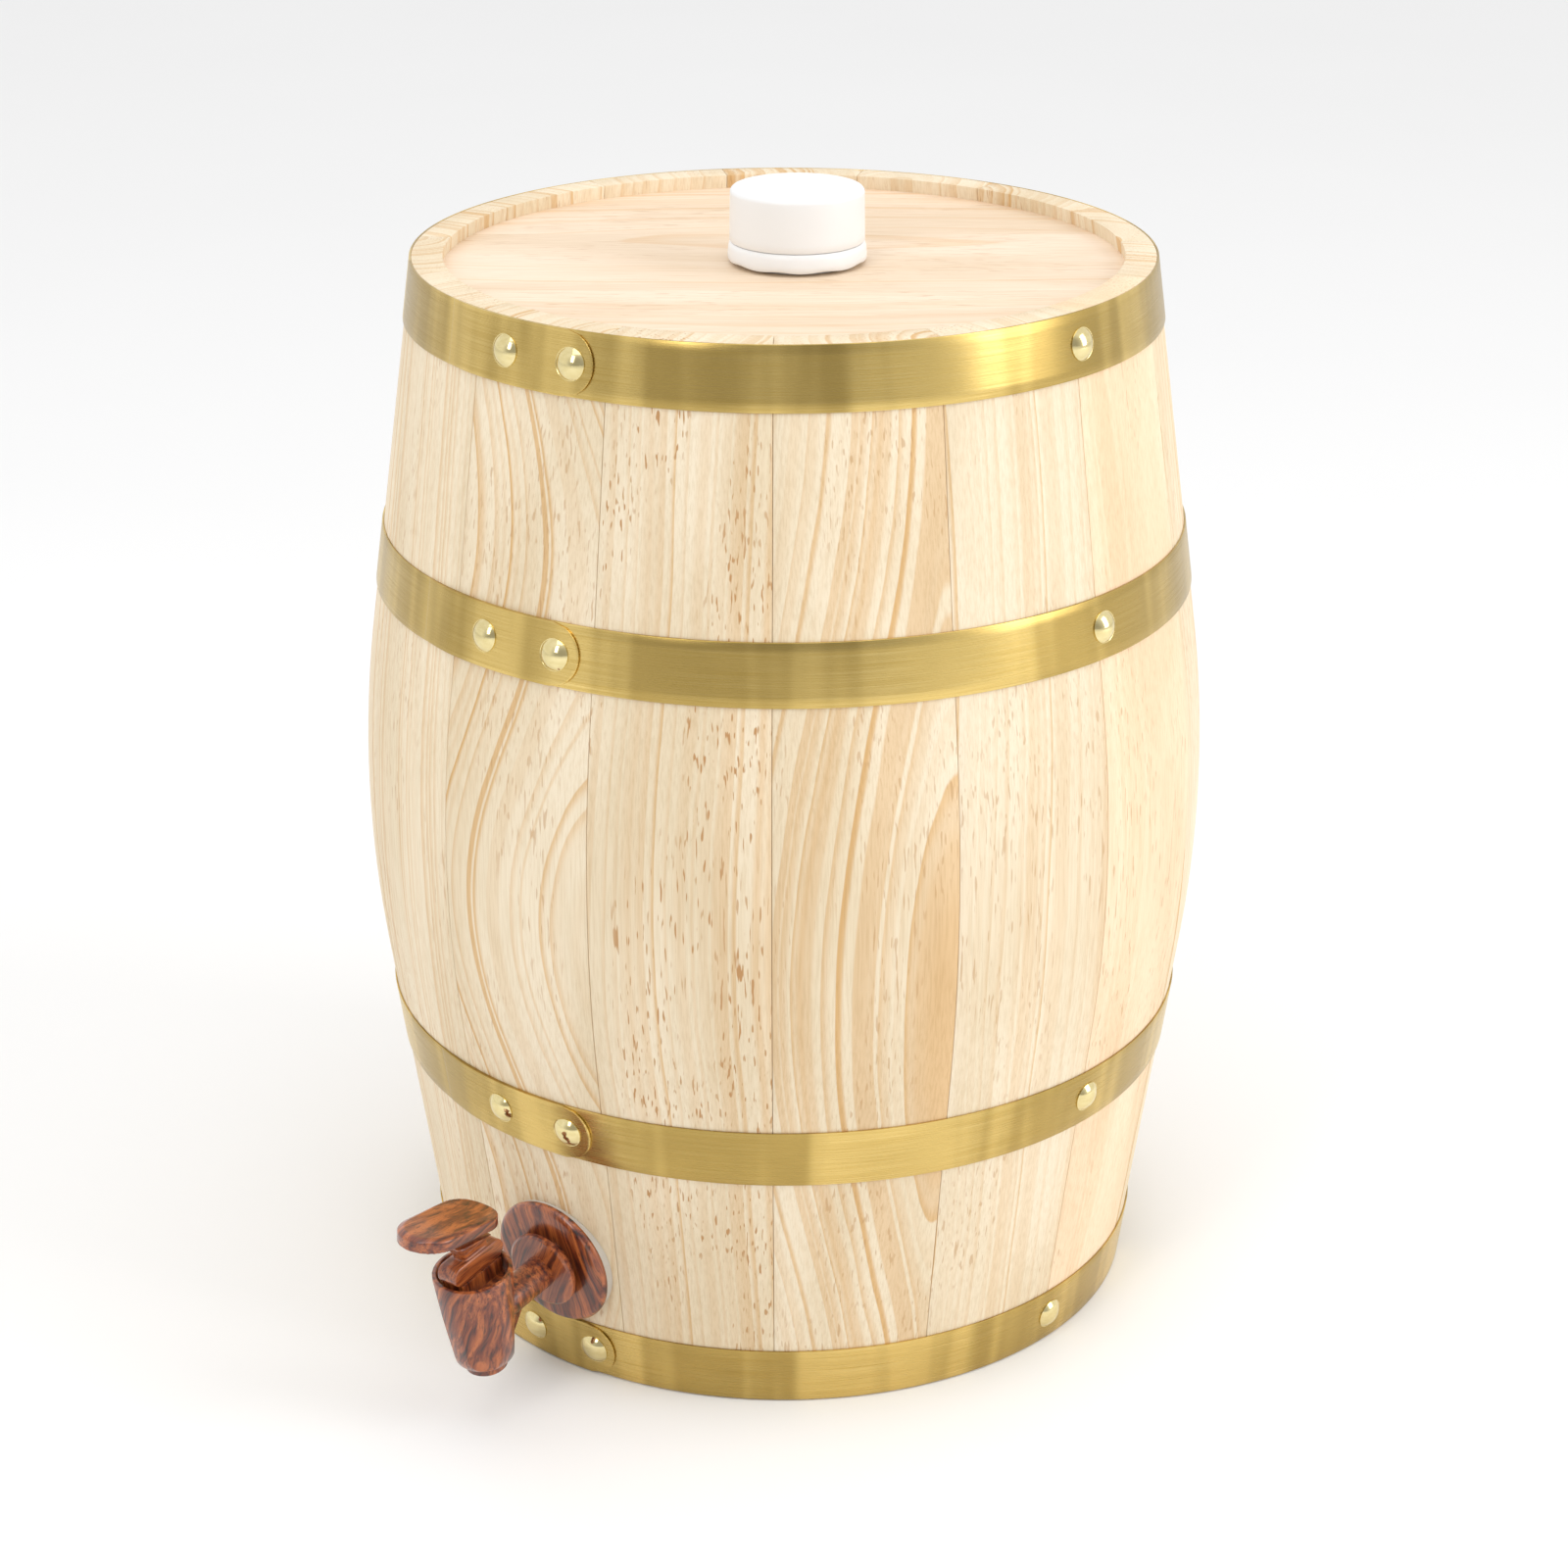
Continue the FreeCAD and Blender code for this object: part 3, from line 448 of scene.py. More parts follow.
def fill_pine_grain(graph: Graph, given: dict) -> dict[str, Socket]:
    """Growth rings of a tree that wanders, cut by whatever surface the board has."""
    mm = graph.millimetres(given["Vector"])
    apart = graph.build_xyz(graph.times(given["Seed"], 517.0), given["Seed"])
    seeded = graph.vector("ADD", mm, apart)
    slow = graph.vector("MULTIPLY", seeded, (0.016, 0.016, 0.0045))
    wander = graph.node("ShaderNodeTexNoise", {
        "Vector": slow, "Scale": 1.0, "Detail": 2.0, "Roughness": 0.45})
    shift = graph.vector("SUBTRACT", wander.outputs["Color"], (0.5, 0.5, 0.5))
    cut = graph.split_xyz(mm)
    sway = graph.split_xyz(shift)
    across = graph.minus(cut[0], given["Pith X"])
    across = graph.plus(across, graph.times(sway[0], given["Wander"]))
    deep = graph.plus(cut[1], given["Pith Depth"])
    deep = graph.plus(deep, graph.times(sway[1], given["Wander"]))
    squares = graph.plus(graph.times(across, across), graph.times(deep, deep))
    radius = graph.math("SQRT", squares)
    along = graph.minus(cut[2], given["Bump Centre"])
    wave = graph.math("COSINE", graph.math("DIVIDE", along, given["Bump Length"]))
    radius = graph.minus(radius, graph.times(wave, given["Bump Height"]))
    fine = graph.noise(graph.vector("MULTIPLY", seeded, (0.09, 0.09, 0.012)), 1.0, 2.0)
    radius = graph.plus(radius, graph.times(graph.minus(fine, 0.5), 1.6))
    years = graph.build_xyz(graph.times(radius, 0.11), given["Seed"])
    pace = graph.minus(graph.noise(years, 1.0, 2.0, 0.6), 0.5)
    uneven = graph.times(pace, graph.times(given["Ring"], 4.5))
    radius = graph.plus(radius, uneven)
    rings = graph.math("DIVIDE", radius, given["Ring"])
    saw = graph.math("FRACT", rings)
    number = graph.math("FLOOR", rings)
    strength = graph.node("ShaderNodeTexWhiteNoise", {"W": graph.plus(number, given["Seed"])},
                          noise_dimensions="1D").outputs["Value"]
    rise = graph.span(saw, 0.15, 0.86)
    fall = graph.span(saw, 0.88, 1.0, 1.0, 0.0)
    power = graph.plus(graph.times(graph.math("POWER", strength, 1.4), 0.85), 0.15)
    late = graph.times(graph.times(rise, fall), power)
    fibre = graph.noise(graph.vector("MULTIPLY", seeded, (1.7, 1.7, 0.045)), 1.0, 3.0, 0.6)
    short = graph.noise(graph.vector("MULTIPLY", seeded, (1.1, 1.1, 0.11)), 1.0, 1.0, 0.4)
    gate = graph.noise(graph.vector("MULTIPLY", seeded, (0.035, 0.035, 0.012)), 1.0, 1.0)
    fleck = graph.times(graph.span(short, 0.62, 0.70), graph.span(gate, 0.44, 0.58))
    tone = graph.noise(graph.vector("MULTIPLY", seeded, (0.03, 0.03, 0.006)), 1.0, 2.0)
    return {"Late": late, "Fibre": fibre, "Fleck": fleck, "Tone": tone}


def fill_brush_streaks_and_reflection_bands(graph: Graph, given: dict) -> dict[str, Socket]:
    """Fine brush streaks that run round a band, slow clouding, and broad dark bands by azimuth that are
    painted reflections of the surroundings.
    """
    place = graph.split_xyz(given["Vector"])
    angle = graph.math("ARCTAN2", place[0], graph.times(place[1], -1.0))
    round_it = graph.build_xyz(
        graph.times(angle, given["Length"]), graph.times(place[2], given["Fineness"]))
    streak = graph.noise(round_it, 1.0, 3.0, 0.65)
    cloud = graph.noise(given["Vector"], 30.0, 2.0)
    # Broad bands by azimuth: painted reflection bands, dark stripes that stand in for surroundings mirrored
    # in the metal.
    reflection_band_spread = 3.4
    turn = graph.build_xyz(
        graph.times(graph.math("SINE", angle), reflection_band_spread),
        graph.times(graph.math("COSINE", angle), reflection_band_spread),
        graph.times(place[2], 2.2))
    return {"Streak": streak, "Cloud": cloud, "Painted Reflection Band": graph.noise(turn, 1.0, 3.0, 0.62)}


def fill_rosewood(graph: Graph, given: dict) -> dict[str, Socket]:
    """Printed rosewood: ribbons of orange, red-brown and near-black along local Z."""
    mm = graph.millimetres(given["Vector"])
    warp = graph.node("ShaderNodeTexNoise", {
        "Vector": graph.vector("MULTIPLY", mm, (0.07, 0.07, 0.03)), "Scale": 1.0, "Detail": 2.0})
    centred = graph.vector("SUBTRACT", warp.outputs["Color"], (0.5, 0.5, 0.5))
    bend = graph.vector("MULTIPLY", centred, (9.0, 9.0, 2.0))
    bent = graph.vector("ADD", mm, bend)
    ribbon = graph.noise(graph.vector("MULTIPLY", bent, (0.40, 0.40, 0.014)), 1.0, 3.0, 0.60)
    line = graph.noise(graph.vector("MULTIPLY", bent, (1.25, 1.25, 0.026)), 1.0, 2.0, 0.6)
    pore = graph.noise(graph.vector("MULTIPLY", mm, (3.2, 3.2, 0.32)), 1.0, 1.0)
    return {"Ribbon": ribbon, "Line": line, "Pore": graph.span(pore, 0.62, 0.74)}


def fill_skin(graph: Graph, given: dict) -> dict[str, Socket]:
    """Slight mottling of a moulded surface."""
    place = given["Vector"]
    return {"Cloud": graph.noise(place, 45.0, 2.0), "Grit": graph.noise(place, 1400.0, 1.0)}


class Groups:
    """The shader groups that the finishes share."""

    def __init__(self) -> None:
        """Build each group once."""
        numbers = (
            "Ring", "Pith X", "Pith Depth", "Bump Height", "Bump Centre", "Bump Length", "Wander", "Seed")
        self.pine = new_group(
            "pine_grain", {"Vector": "Vector", **{key: "Float" for key in numbers}},
            {key: "Float" for key in ("Late", "Fibre", "Fleck", "Tone")}, fill_pine_grain)
        self.brushed = new_group(
            "brush_streaks_and_painted_reflection_bands", {"Vector": "Vector", "Length": "Float", "Fineness": "Float"},
            {"Streak": "Float", "Cloud": "Float", "Painted Reflection Band": "Float"}, fill_brush_streaks_and_reflection_bands)
        self.rosewood = new_group(
            "rosewood_print", {"Vector": "Vector"},
            {"Ribbon": "Float", "Line": "Float", "Pore": "Float"}, fill_rosewood)
        self.skin = new_group(
            "moulded_skin", {"Vector": "Vector"}, {"Cloud": "Float", "Grit": "Float"}, fill_skin)


class Bench:
    """Starts a material: its graph, shader, object coordinates and a turned copy of them."""

    def __init__(
            self, name: str, rotation: Sequence[float] = (0, 0, 0),
            location: Sequence[float] = (0, 0, 0)) -> None:
        """Make the material.

        Args:
            name: Its name.
            rotation: Turn of the pattern, in radians.
            location: Shift of the pattern.
        """
        self.material = bpy.data.materials.new(name)
        self.material.use_nodes = True
        tree = self.material.node_tree
        self.shader = tree.nodes["Principled BSDF"]
        self.graph = Graph(tree)
        self.place = self.graph.node("ShaderNodeTexCoord").outputs["Object"]
        self.turned = self.graph.node("ShaderNodeMapping", {
            "Vector": self.place, "Rotation": tuple(rotation), "Location": tuple(location)}).outputs[0]

    def group(self, tree: bpy.types.NodeTree, inputs: dict) -> bpy.types.bpy_prop_collection:
        """Place a shared group and give its outputs."""
        return self.graph.node("ShaderNodeGroup", inputs, node_tree=tree).outputs

    def link(self, value: Socket, socket: str) -> None:
        """Feed one socket of the shader."""
        self.graph.tree.links.new(value, self.shader.inputs[socket])

    def bump(self, height: Socket, strength: float, distance: float) -> None:
        """Give the surface relief."""
        node = self.graph.node("ShaderNodeBump", {
            "Height": height, "Strength": strength, "Distance": distance})
        self.link(node.outputs[0], "Normal")


def rgba(r: float, g: float, b: float) -> Colour:
    """Opaque linear colour."""
    return (r, g, b, 1.0)


@dataclass(frozen=True)
class PineFinish:
    """How one board was cut from its tree, and its tint."""

    ring: float = 4.2
    pith_x: float = 0.0
    pith_depth: float = 60.0
    bump_height: float = 4.0
    bump_centre: float = 190.0
    bump_length: float = 90.0
    wander: float = 10.0
    seed: float = 0.0
    contrast: float = 1.0
    fleck: float = 0.5
    early: Colour = rgba(0.81, 0.71, 0.545)
    late: Colour = rgba(0.66, 0.41, 0.17)

    def make(self, name: str, groups: Groups, rotation: Sequence[float]) -> bpy.types.Material:
        """Build the material.

        Args:
            name: Its name.
            groups: The shared groups.
            rotation: Turn that lays the board's length along local Z and its face towards local -Y.

        Returns:
            The material.
        """
        bench = Bench(name, rotation)
        graph = bench.graph
        grain = bench.group(groups.pine, {
            "Vector": bench.turned, "Ring": self.ring, "Pith X": self.pith_x, "Pith Depth": self.pith_depth,
            "Bump Height": self.bump_height, "Bump Centre": self.bump_centre, "Bump Length": self.bump_length,
            "Wander": self.wander, "Seed": self.seed})
        share = graph.math("MULTIPLY", grain["Late"], self.contrast, clamp=True)
        colour = graph.mix(share, self.early, self.late)
        cream = rgba(1.04, 1.03, 1.02)
        warm = rgba(0.93, 0.89, 0.82)
        tint = graph.mix(graph.span(grain["Tone"], 0.35, 0.68), cream, warm)
        colour = graph.mix(1.0, colour, tint, "MULTIPLY")
        fibre = graph.span(grain["Fibre"], 0.38, 0.70)
        fine = graph.mix(fibre, rgba(1.02, 1.02, 1.02), rgba(0.93, 0.90, 0.85))
        colour = graph.mix(1.0, colour, fine, "MULTIPLY")
        colour = graph.mix(graph.times(grain["Fleck"], self.fleck), colour, rgba(0.50, 0.27, 0.11))
        bench.link(colour, "Base Color")
        bench.link(graph.span(grain["Fibre"], 0.2, 0.8, 0.50, 0.66), "Roughness")
        bench.shader.inputs["Specular IOR Level"].default_value = 0.30
        relief = graph.plus(graph.times(grain["Late"], 0.5), grain["Fibre"])
        bench.bump(relief, 0.16, 0.25 * MM)
        return bench.material


@dataclass(frozen=True)
class BrassFinish:
    """Brass-coloured steel with brush streaks round the band, or polished; painted reflection bands darken it
    by azimuth unless their share is zero.
    """

    colour: Colour = rgba(0.82, 0.62, 0.24)
    shade: Colour = rgba(0.60, 0.42, 0.12)
    # Share of the painted reflection bands: dark stripes that stand in for reflections of the surroundings.
    band: float = 0.62
    rough_low: float = 0.20
    rough_high: float = 0.36
    relief: float = 0.10
    length: float = 3.0
    fineness: float = 5200.0

    def make(self, name: str, groups: Groups) -> bpy.types.Material:
        """Build the material."""
        bench = Bench(name)
        graph = bench.graph
        brush = bench.group(groups.brushed, {
            "Vector": bench.place, "Length": self.length, "Fineness": self.fineness})
        share = graph.span(brush["Streak"], 0.30, 0.72)
        colour = graph.mix(share, self.colour, self.shade)
        # Painted reflection: broad dark bands by azimuth, mixed towards dark brass where the metal would
        # mirror darker surroundings.
        dim = graph.times(graph.span(brush["Painted Reflection Band"], 0.42, 0.60), self.band)
        colour = graph.mix(dim, colour, rgba(0.30, 0.20, 0.050))
        cloud = graph.mix(graph.span(brush["Cloud"], 0.3, 0.7), rgba(1.03, 1.02, 1.0), rgba(0.93, 0.92, 0.90))
        bench.link(graph.mix(1.0, colour, cloud, "MULTIPLY"), "Base Color")
        bench.link(graph.span(brush["Streak"], 0.2, 0.8, self.rough_low, self.rough_high), "Roughness")
        bench.shader.inputs["Metallic"].default_value = 1.0
        bench.bump(brush["Streak"], self.relief, 0.05 * MM)
        return bench.material


@dataclass(frozen=True)
class RosewoodFinish:
    """Glossy plastic under a rosewood print."""

    bright: Colour = rgba(0.46, 0.125, 0.030)
    middle: Colour = rgba(0.160, 0.028, 0.008)
    dark: Colour = rgba(0.022, 0.007, 0.005)

    def make(
            self, name: str, groups: Groups, rotation: Sequence[float],
            location: Sequence[float]) -> bpy.types.Material:
        """Build the material.

        Args:
            name: Its name.
            groups: The shared groups.
            rotation: Turn that lays the print's grain along local Z.
            location: Shift that gives each piece its own stretch of the print.

        Returns:
            The material.
        """
        bench = Bench(name, rotation, location)
        graph = bench.graph
        print_ = bench.group(groups.rosewood, {"Vector": bench.turned})
        colour = graph.mix(graph.span(print_["Ribbon"], 0.34, 0.60), self.bright, self.middle)
        colour = graph.mix(graph.span(print_["Ribbon"], 0.56, 0.70), colour, self.dark)
        thin = graph.times(graph.span(print_["Line"], 0.52, 0.70), 0.75)
        colour = graph.mix(thin, colour, self.dark)
        colour = graph.mix(graph.times(print_["Pore"], 0.5), colour, self.dark)
        bench.link(colour, "Base Color")
        bench.link(graph.span(print_["Line"], 0.3, 0.7, 0.30, 0.38), "Roughness")
        bench.shader.inputs["Coat Weight"].default_value = 0.75
        bench.shader.inputs["Coat Roughness"].default_value = 0.10
        bench.bump(print_["Line"], 0.06, 0.10 * MM)
        return bench.material


@dataclass(frozen=True)
class MouldedFinish:
    """Plain moulded plastic, rubber or drawn metal."""

    colour: Colour
    roughness: float = 0.4
    metallic: float = 0.0
    subsurface: float = 0.0
    variation: float = 0.04

    def make(self, name: str, groups: Groups) -> bpy.types.Material:
        """Build the material."""
        bench = Bench(name)
        graph = bench.graph
        skin = bench.group(groups.skin, {"Vector": bench.place})
        dim = 1.0 - self.variation
        shade = graph.mix(graph.span(skin["Cloud"], 0.3, 0.7), rgba(1, 1, 1), rgba(dim, dim, dim))
        bench.link(graph.mix(1.0, self.colour, shade, "MULTIPLY"), "Base Color")
        low, high = self.roughness - 0.04, self.roughness + 0.06
        bench.link(graph.span(skin["Cloud"], 0.2, 0.8, low, high), "Roughness")
        bench.shader.inputs["Metallic"].default_value = self.metallic
        bench.shader.inputs["Subsurface Weight"].default_value = self.subsurface
        bench.shader.inputs["Subsurface Radius"].default_value = (0.004, 0.004, 0.004)
        bench.bump(skin["Grit"], 0.04, 0.05 * MM)
        return bench.material


MOULDED = {
    Finish.WHITE_MOULDING: MouldedFinish(rgba(0.86, 0.87, 0.88), 0.34, 0.0, 0.25, 0.02),
    Finish.BLADDER_FILM: MouldedFinish(rgba(0.72, 0.75, 0.78), 0.30, 0.0, 0.30),
    Finish.SILICONE: MouldedFinish(rgba(0.62, 0.58, 0.52), 0.45, 0.0, 0.30),
    Finish.BLACK_MOULDING: MouldedFinish(rgba(0.02, 0.02, 0.02), 0.42),
    Finish.BRIGHT_STEEL: MouldedFinish(rgba(0.62, 0.62, 0.62), 0.22, 1.0),
}


def dress(piece: bpy.types.Object, material: bpy.types.Material) -> None:
    """Give a piece one material, in every slot that it has."""
    for slot in piece.material_slots:
        slot.material = material
    if not piece.material_slots:
        piece.data.materials.append(material)


def set_out(
        name: str, bm: Mesh, smooth_deg: float, material: bpy.types.Material,
        body: str, node: str) -> None:
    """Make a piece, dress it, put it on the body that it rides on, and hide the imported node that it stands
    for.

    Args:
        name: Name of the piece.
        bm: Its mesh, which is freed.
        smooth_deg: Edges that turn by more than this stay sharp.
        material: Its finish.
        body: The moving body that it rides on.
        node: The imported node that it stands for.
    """
    piece = new_piece(name, bm, smooth_deg)
    dress(piece, material)
    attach(piece, body)
    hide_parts(node)
    LOG.info("%s: %d faces on %s", piece.name, len(piece.data.polygons), body)


# Sub-assemblies


@dataclass
class Shell:
    """Staves and heads."""

    count: int = 15
    first_seam_deg: float = 35.0
    seam_gap: float = 0.05 * MM
    edge_round: float = 0.35 * MM
    rows: int = 48
    steps: int = 10
    grain_heading_deg: float = 36.5
    cuts: dict[int, PineFinish] = field(default_factory=lambda: {
        0: PineFinish(ring=6.4, pith_x=26.0, pith_depth=128.0, bump_height=17.0, bump_centre=176.0,
                      bump_length=66.0, wander=7.0, seed=3.0, contrast=1.0),
        1: PineFinish(ring=5.6, pith_x=-75.0, pith_depth=120.0, bump_height=3.0, bump_centre=240.0,
                      bump_length=95.0, wander=9.0, seed=11.0, contrast=0.85),
        2: PineFinish(ring=7.5, pith_x=10.0, pith_depth=120.0, bump_height=7.0, bump_centre=220.0,
                      bump_length=60.0, wander=22.0, seed=21.0, contrast=0.5,
                      early=rgba(0.88, 0.70, 0.50), late=rgba(0.80, 0.55, 0.33)),
        12: PineFinish(ring=3.2, pith_x=95.0, pith_depth=110.0, bump_height=1.0, wander=7.0, seed=5.0,
                       contrast=0.8),
        13: PineFinish(ring=7.4, pith_x=33.0, pith_depth=124.0, bump_height=16.0, bump_centre=183.0,
                       bump_length=42.0, wander=7.0, seed=8.0, contrast=1.0),
        14: PineFinish(ring=5.2, pith_x=-62.0, pith_depth=118.0, bump_height=1.6, bump_centre=200.0,
                       bump_length=110.0, wander=10.0, seed=14.0, contrast=0.9, fleck=1.0),
    })

    def outline(self) -> list[tuple[float, float]]:
        """Corners of a stave's long section, outer face first."""
        heights = [SIDE.height * i / self.rows for i in range(self.rows + 1)]
        outer = [(SIDE.radius(z), z) for z in heights]
        inner = [(SIDE.radius(z, -SIDE.wall), z) for z in reversed(heights)]
        return outer + inner

    def finish_of(self, index: int) -> PineFinish:
        """How the board of one stave was cut; those out of sight are drawn from a seed."""
        if index in self.cuts:
            return self.cuts[index]
        draw = random.Random(40 + index)
        return PineFinish(
            ring=draw.uniform(3.6, 6.4), pith_x=draw.choice((-1, 1)) * draw.uniform(5, 90),
            pith_depth=draw.uniform(95, 130), bump_height=draw.uniform(1, 12),
            bump_centre=draw.uniform(90, 300), bump_length=draw.uniform(45, 100),
            wander=draw.uniform(7, 16), seed=30.0 + 3.7 * index, contrast=draw.uniform(0.7, 1.0),
            fleck=draw.uniform(0.2, 0.7))

    def build_staves(self, groups: Groups) -> None:
        """Model each stave with its own grain and softened long edges."""
        sweep = math.radians(360.0 / self.count)
        for index in range(self.count):
            start = math.radians(self.first_seam_deg) + index * sweep
            gap = self.seam_gap / SIDE.end_radius
            bm = spun(self.outline(), start + gap, sweep - 2 * gap, self.steps)
            soften(bm, self.edge_round, 2, 60.0)
            name = "stave_%02d" % (index + 1)
            middle = start + sweep / 2
            pine = self.finish_of(index).make("pine_" + name, groups, (0, 0, -middle))
            set_out("pine_" + name, bm, 30.0, pine, "root", name)

    def dress_heads(self, groups: Groups, nodes: Nodes) -> None:
        """Give each head board its own grain, along the head's boards."""
        along = (math.radians(90), math.radians(self.grain_heading_deg - 90), 0)
        for side, base in (("top", 379.0), ("bottom", 5.0)):
            for number in (1, 2, 3):
                draw = random.Random(7 * number + (100 if side == "top" else 0))
                finish = PineFinish(
                    ring=draw.uniform(7.0, 10.0), pith_x=draw.uniform(-40, 40),
                    pith_depth=base - draw.uniform(22, 34),
                    bump_height=draw.uniform(4, 9), bump_centre=draw.uniform(-60, 60), bump_length=70.0,
                    wander=18.0, seed=60.0 + number, contrast=0.55, fleck=0.35,
                    early=rgba(0.84, 0.70, 0.56), late=rgba(0.76, 0.50, 0.26))
                name = "%s_head_board_%d" % (side, number)
                dress(nodes[name], finish.make("pine_" + name, groups, along))
                LOG.info("%s dressed", name)


@dataclass
class Hoops:
    """Four riveted hoops: a band, a lap with a half-round end, and dome-headed nails."""

    width: float = 21.4 * MM
    thickness: float = 0.7 * MM
    base_gap: float = 0.6 * MM
    quarter_offset: float = 87.4 * MM
    lap_start_deg: float = -14.0
    lap_end_deg: float = 9.2
    ramp_deg: float = 6.0
    lap_lift: float = 0.12 * MM
    edge_round: float = 0.18 * MM
    steps: int = 240
    lap_columns: int = 64
    lap_rows: int = 16
    nail_radius: float = 5.5 * MM
    nail_height: float = 2.6 * MM
    lap_nails_deg: tuple[float, ...] = (-6.5, 5.5)
    nails_deg: tuple[float, ...] = (84.0, 174.0, 264.0)

    def levels(self) -> dict[str, float]:
        """Lower edge of each hoop, by name."""
        middle = SIDE.height / 2 - self.width / 2
        return {
            "top": SIDE.height - self.width,
            "upper": middle + self.quarter_offset,
            "lower": middle - self.quarter_offset,
            "bottom": self.base_gap,
        }

    def band(self, low: float) -> Mesh:
        """Closed band round the barrel."""
        rows = 6
        heights = [low + self.width * i / rows for i in range(rows + 1)]
        outline = [(SIDE.radius(z, self.thickness), z) for z in heights]
        outline += [(SIDE.radius(z, 0.02 * MM), z) for z in reversed(heights)]
        bm = spun(outline, 0.0, FULL_TURN, self.steps)
        soften(bm, self.edge_round, 2, 50.0)
        return bm

    def lap(self, low: float) -> Mesh:
        """Outer end of the strip: it climbs over itself and stops in a half round."""
        bm = bmesh.new()
        bmesh.ops.create_grid(bm, x_segments=self.lap_columns, y_segments=self.lap_rows, size=1.0)
        middle = low + self.width / 2
        radius = SIDE.radius(middle)
        half = self.width / 2
        start = math.radians(self.lap_start_deg - self.ramp_deg) * radius
        end = math.radians(self.lap_end_deg) * radius
        climb = math.radians(self.ramp_deg) * radius
        for vert in bm.verts:
            share, across = (vert.co.x + 1) / 2, vert.co.y
            stop = end - half * (1 - math.sqrt(max(0.0, 1 - across ** 2)))
            run = start + (stop - start) * share
            rise = min(1.0, (run - start) / climb)
            lift = self.thickness * rise + self.lap_lift * share
            vert.co = SIDE.point(run / radius, middle + half * across, lift)
        for face in bm.faces:
            face.normal_update()
            centre = face.calc_center_median()
            if face.normal.dot(Vector((centre.x, centre.y, 0))) < 0:
                face.normal_flip()
        bmesh.ops.solidify(bm, geom=bm.faces, thickness=-self.thickness)
        bmesh.ops.recalc_face_normals(bm, faces=bm.faces)
        soften(bm, self.edge_round, 2, 60.0)
        return bm

    def nail(self, azimuth_deg: float, z: float, layers: int, turn: float) -> Mesh:
        """One dome head with its slightly flattened rim, seated on the strip."""
        steps = 10
        sphere = (self.nail_radius ** 2 + self.nail_height ** 2) / (2 * self.nail_height)
        outline = [(self.nail_radius * 0.98, -0.7 * MM), (self.nail_radius, 0.25 * MM)]
        limit = math.asin(min(1.0, self.nail_radius * 0.97 / sphere))
        for step in range(steps + 1):
            angle = limit * (1 - step / steps)
            outline.append((sphere * math.sin(angle), self.nail_height - sphere * (1 - math.cos(angle))))
        outline[-1] = (0.0, self.nail_height)
        bm = turned([(0.0, -0.7 * MM)] + outline, 40)
        azimuth = math.radians(azimuth_deg)
        normal = SIDE.normal(azimuth, z)
        seat = SIDE.point(azimuth, z, layers * self.thickness)
        place = Matrix.Translation(seat) @ normal.to_track_quat("Z", "Y").to_matrix().to_4x4()
        return carried(bm, place @ Matrix.Rotation(turn, 4, "Z"))

    def build(self, groups: Groups) -> None:
        """Model and dress every hoop and its nails."""
        # The strip's material carries the painted reflection bands; the polished one for the nails has none.
        strip = BrassFinish().make("brushed_brass_painted_reflections", groups)
        polish = BrassFinish(
            colour=rgba(0.84, 0.73, 0.40), shade=rgba(0.76, 0.64, 0.32), rough_low=0.10, rough_high=0.15,
            relief=0.02, length=40.0, fineness=500.0, band=0.0).make("polished_brass", groups)
        for name, low in self.levels().items():
            hoop = joined([self.band(low), self.lap(low)])
            set_out("strip_" + name, hoop, 40.0, strip, "root", "hoop_" + name)
            middle = low + self.width / 2
            spots = [(angle, 2) for angle in self.lap_nails_deg] + [(angle, 1) for angle in self.nails_deg]
            nails = joined([
                self.nail(angle, middle, layers, index) for index, (angle, layers) in enumerate(spots)])
            set_out("nails_" + name, nails, 50.0, polish, "root", "hoop_nails_" + name)


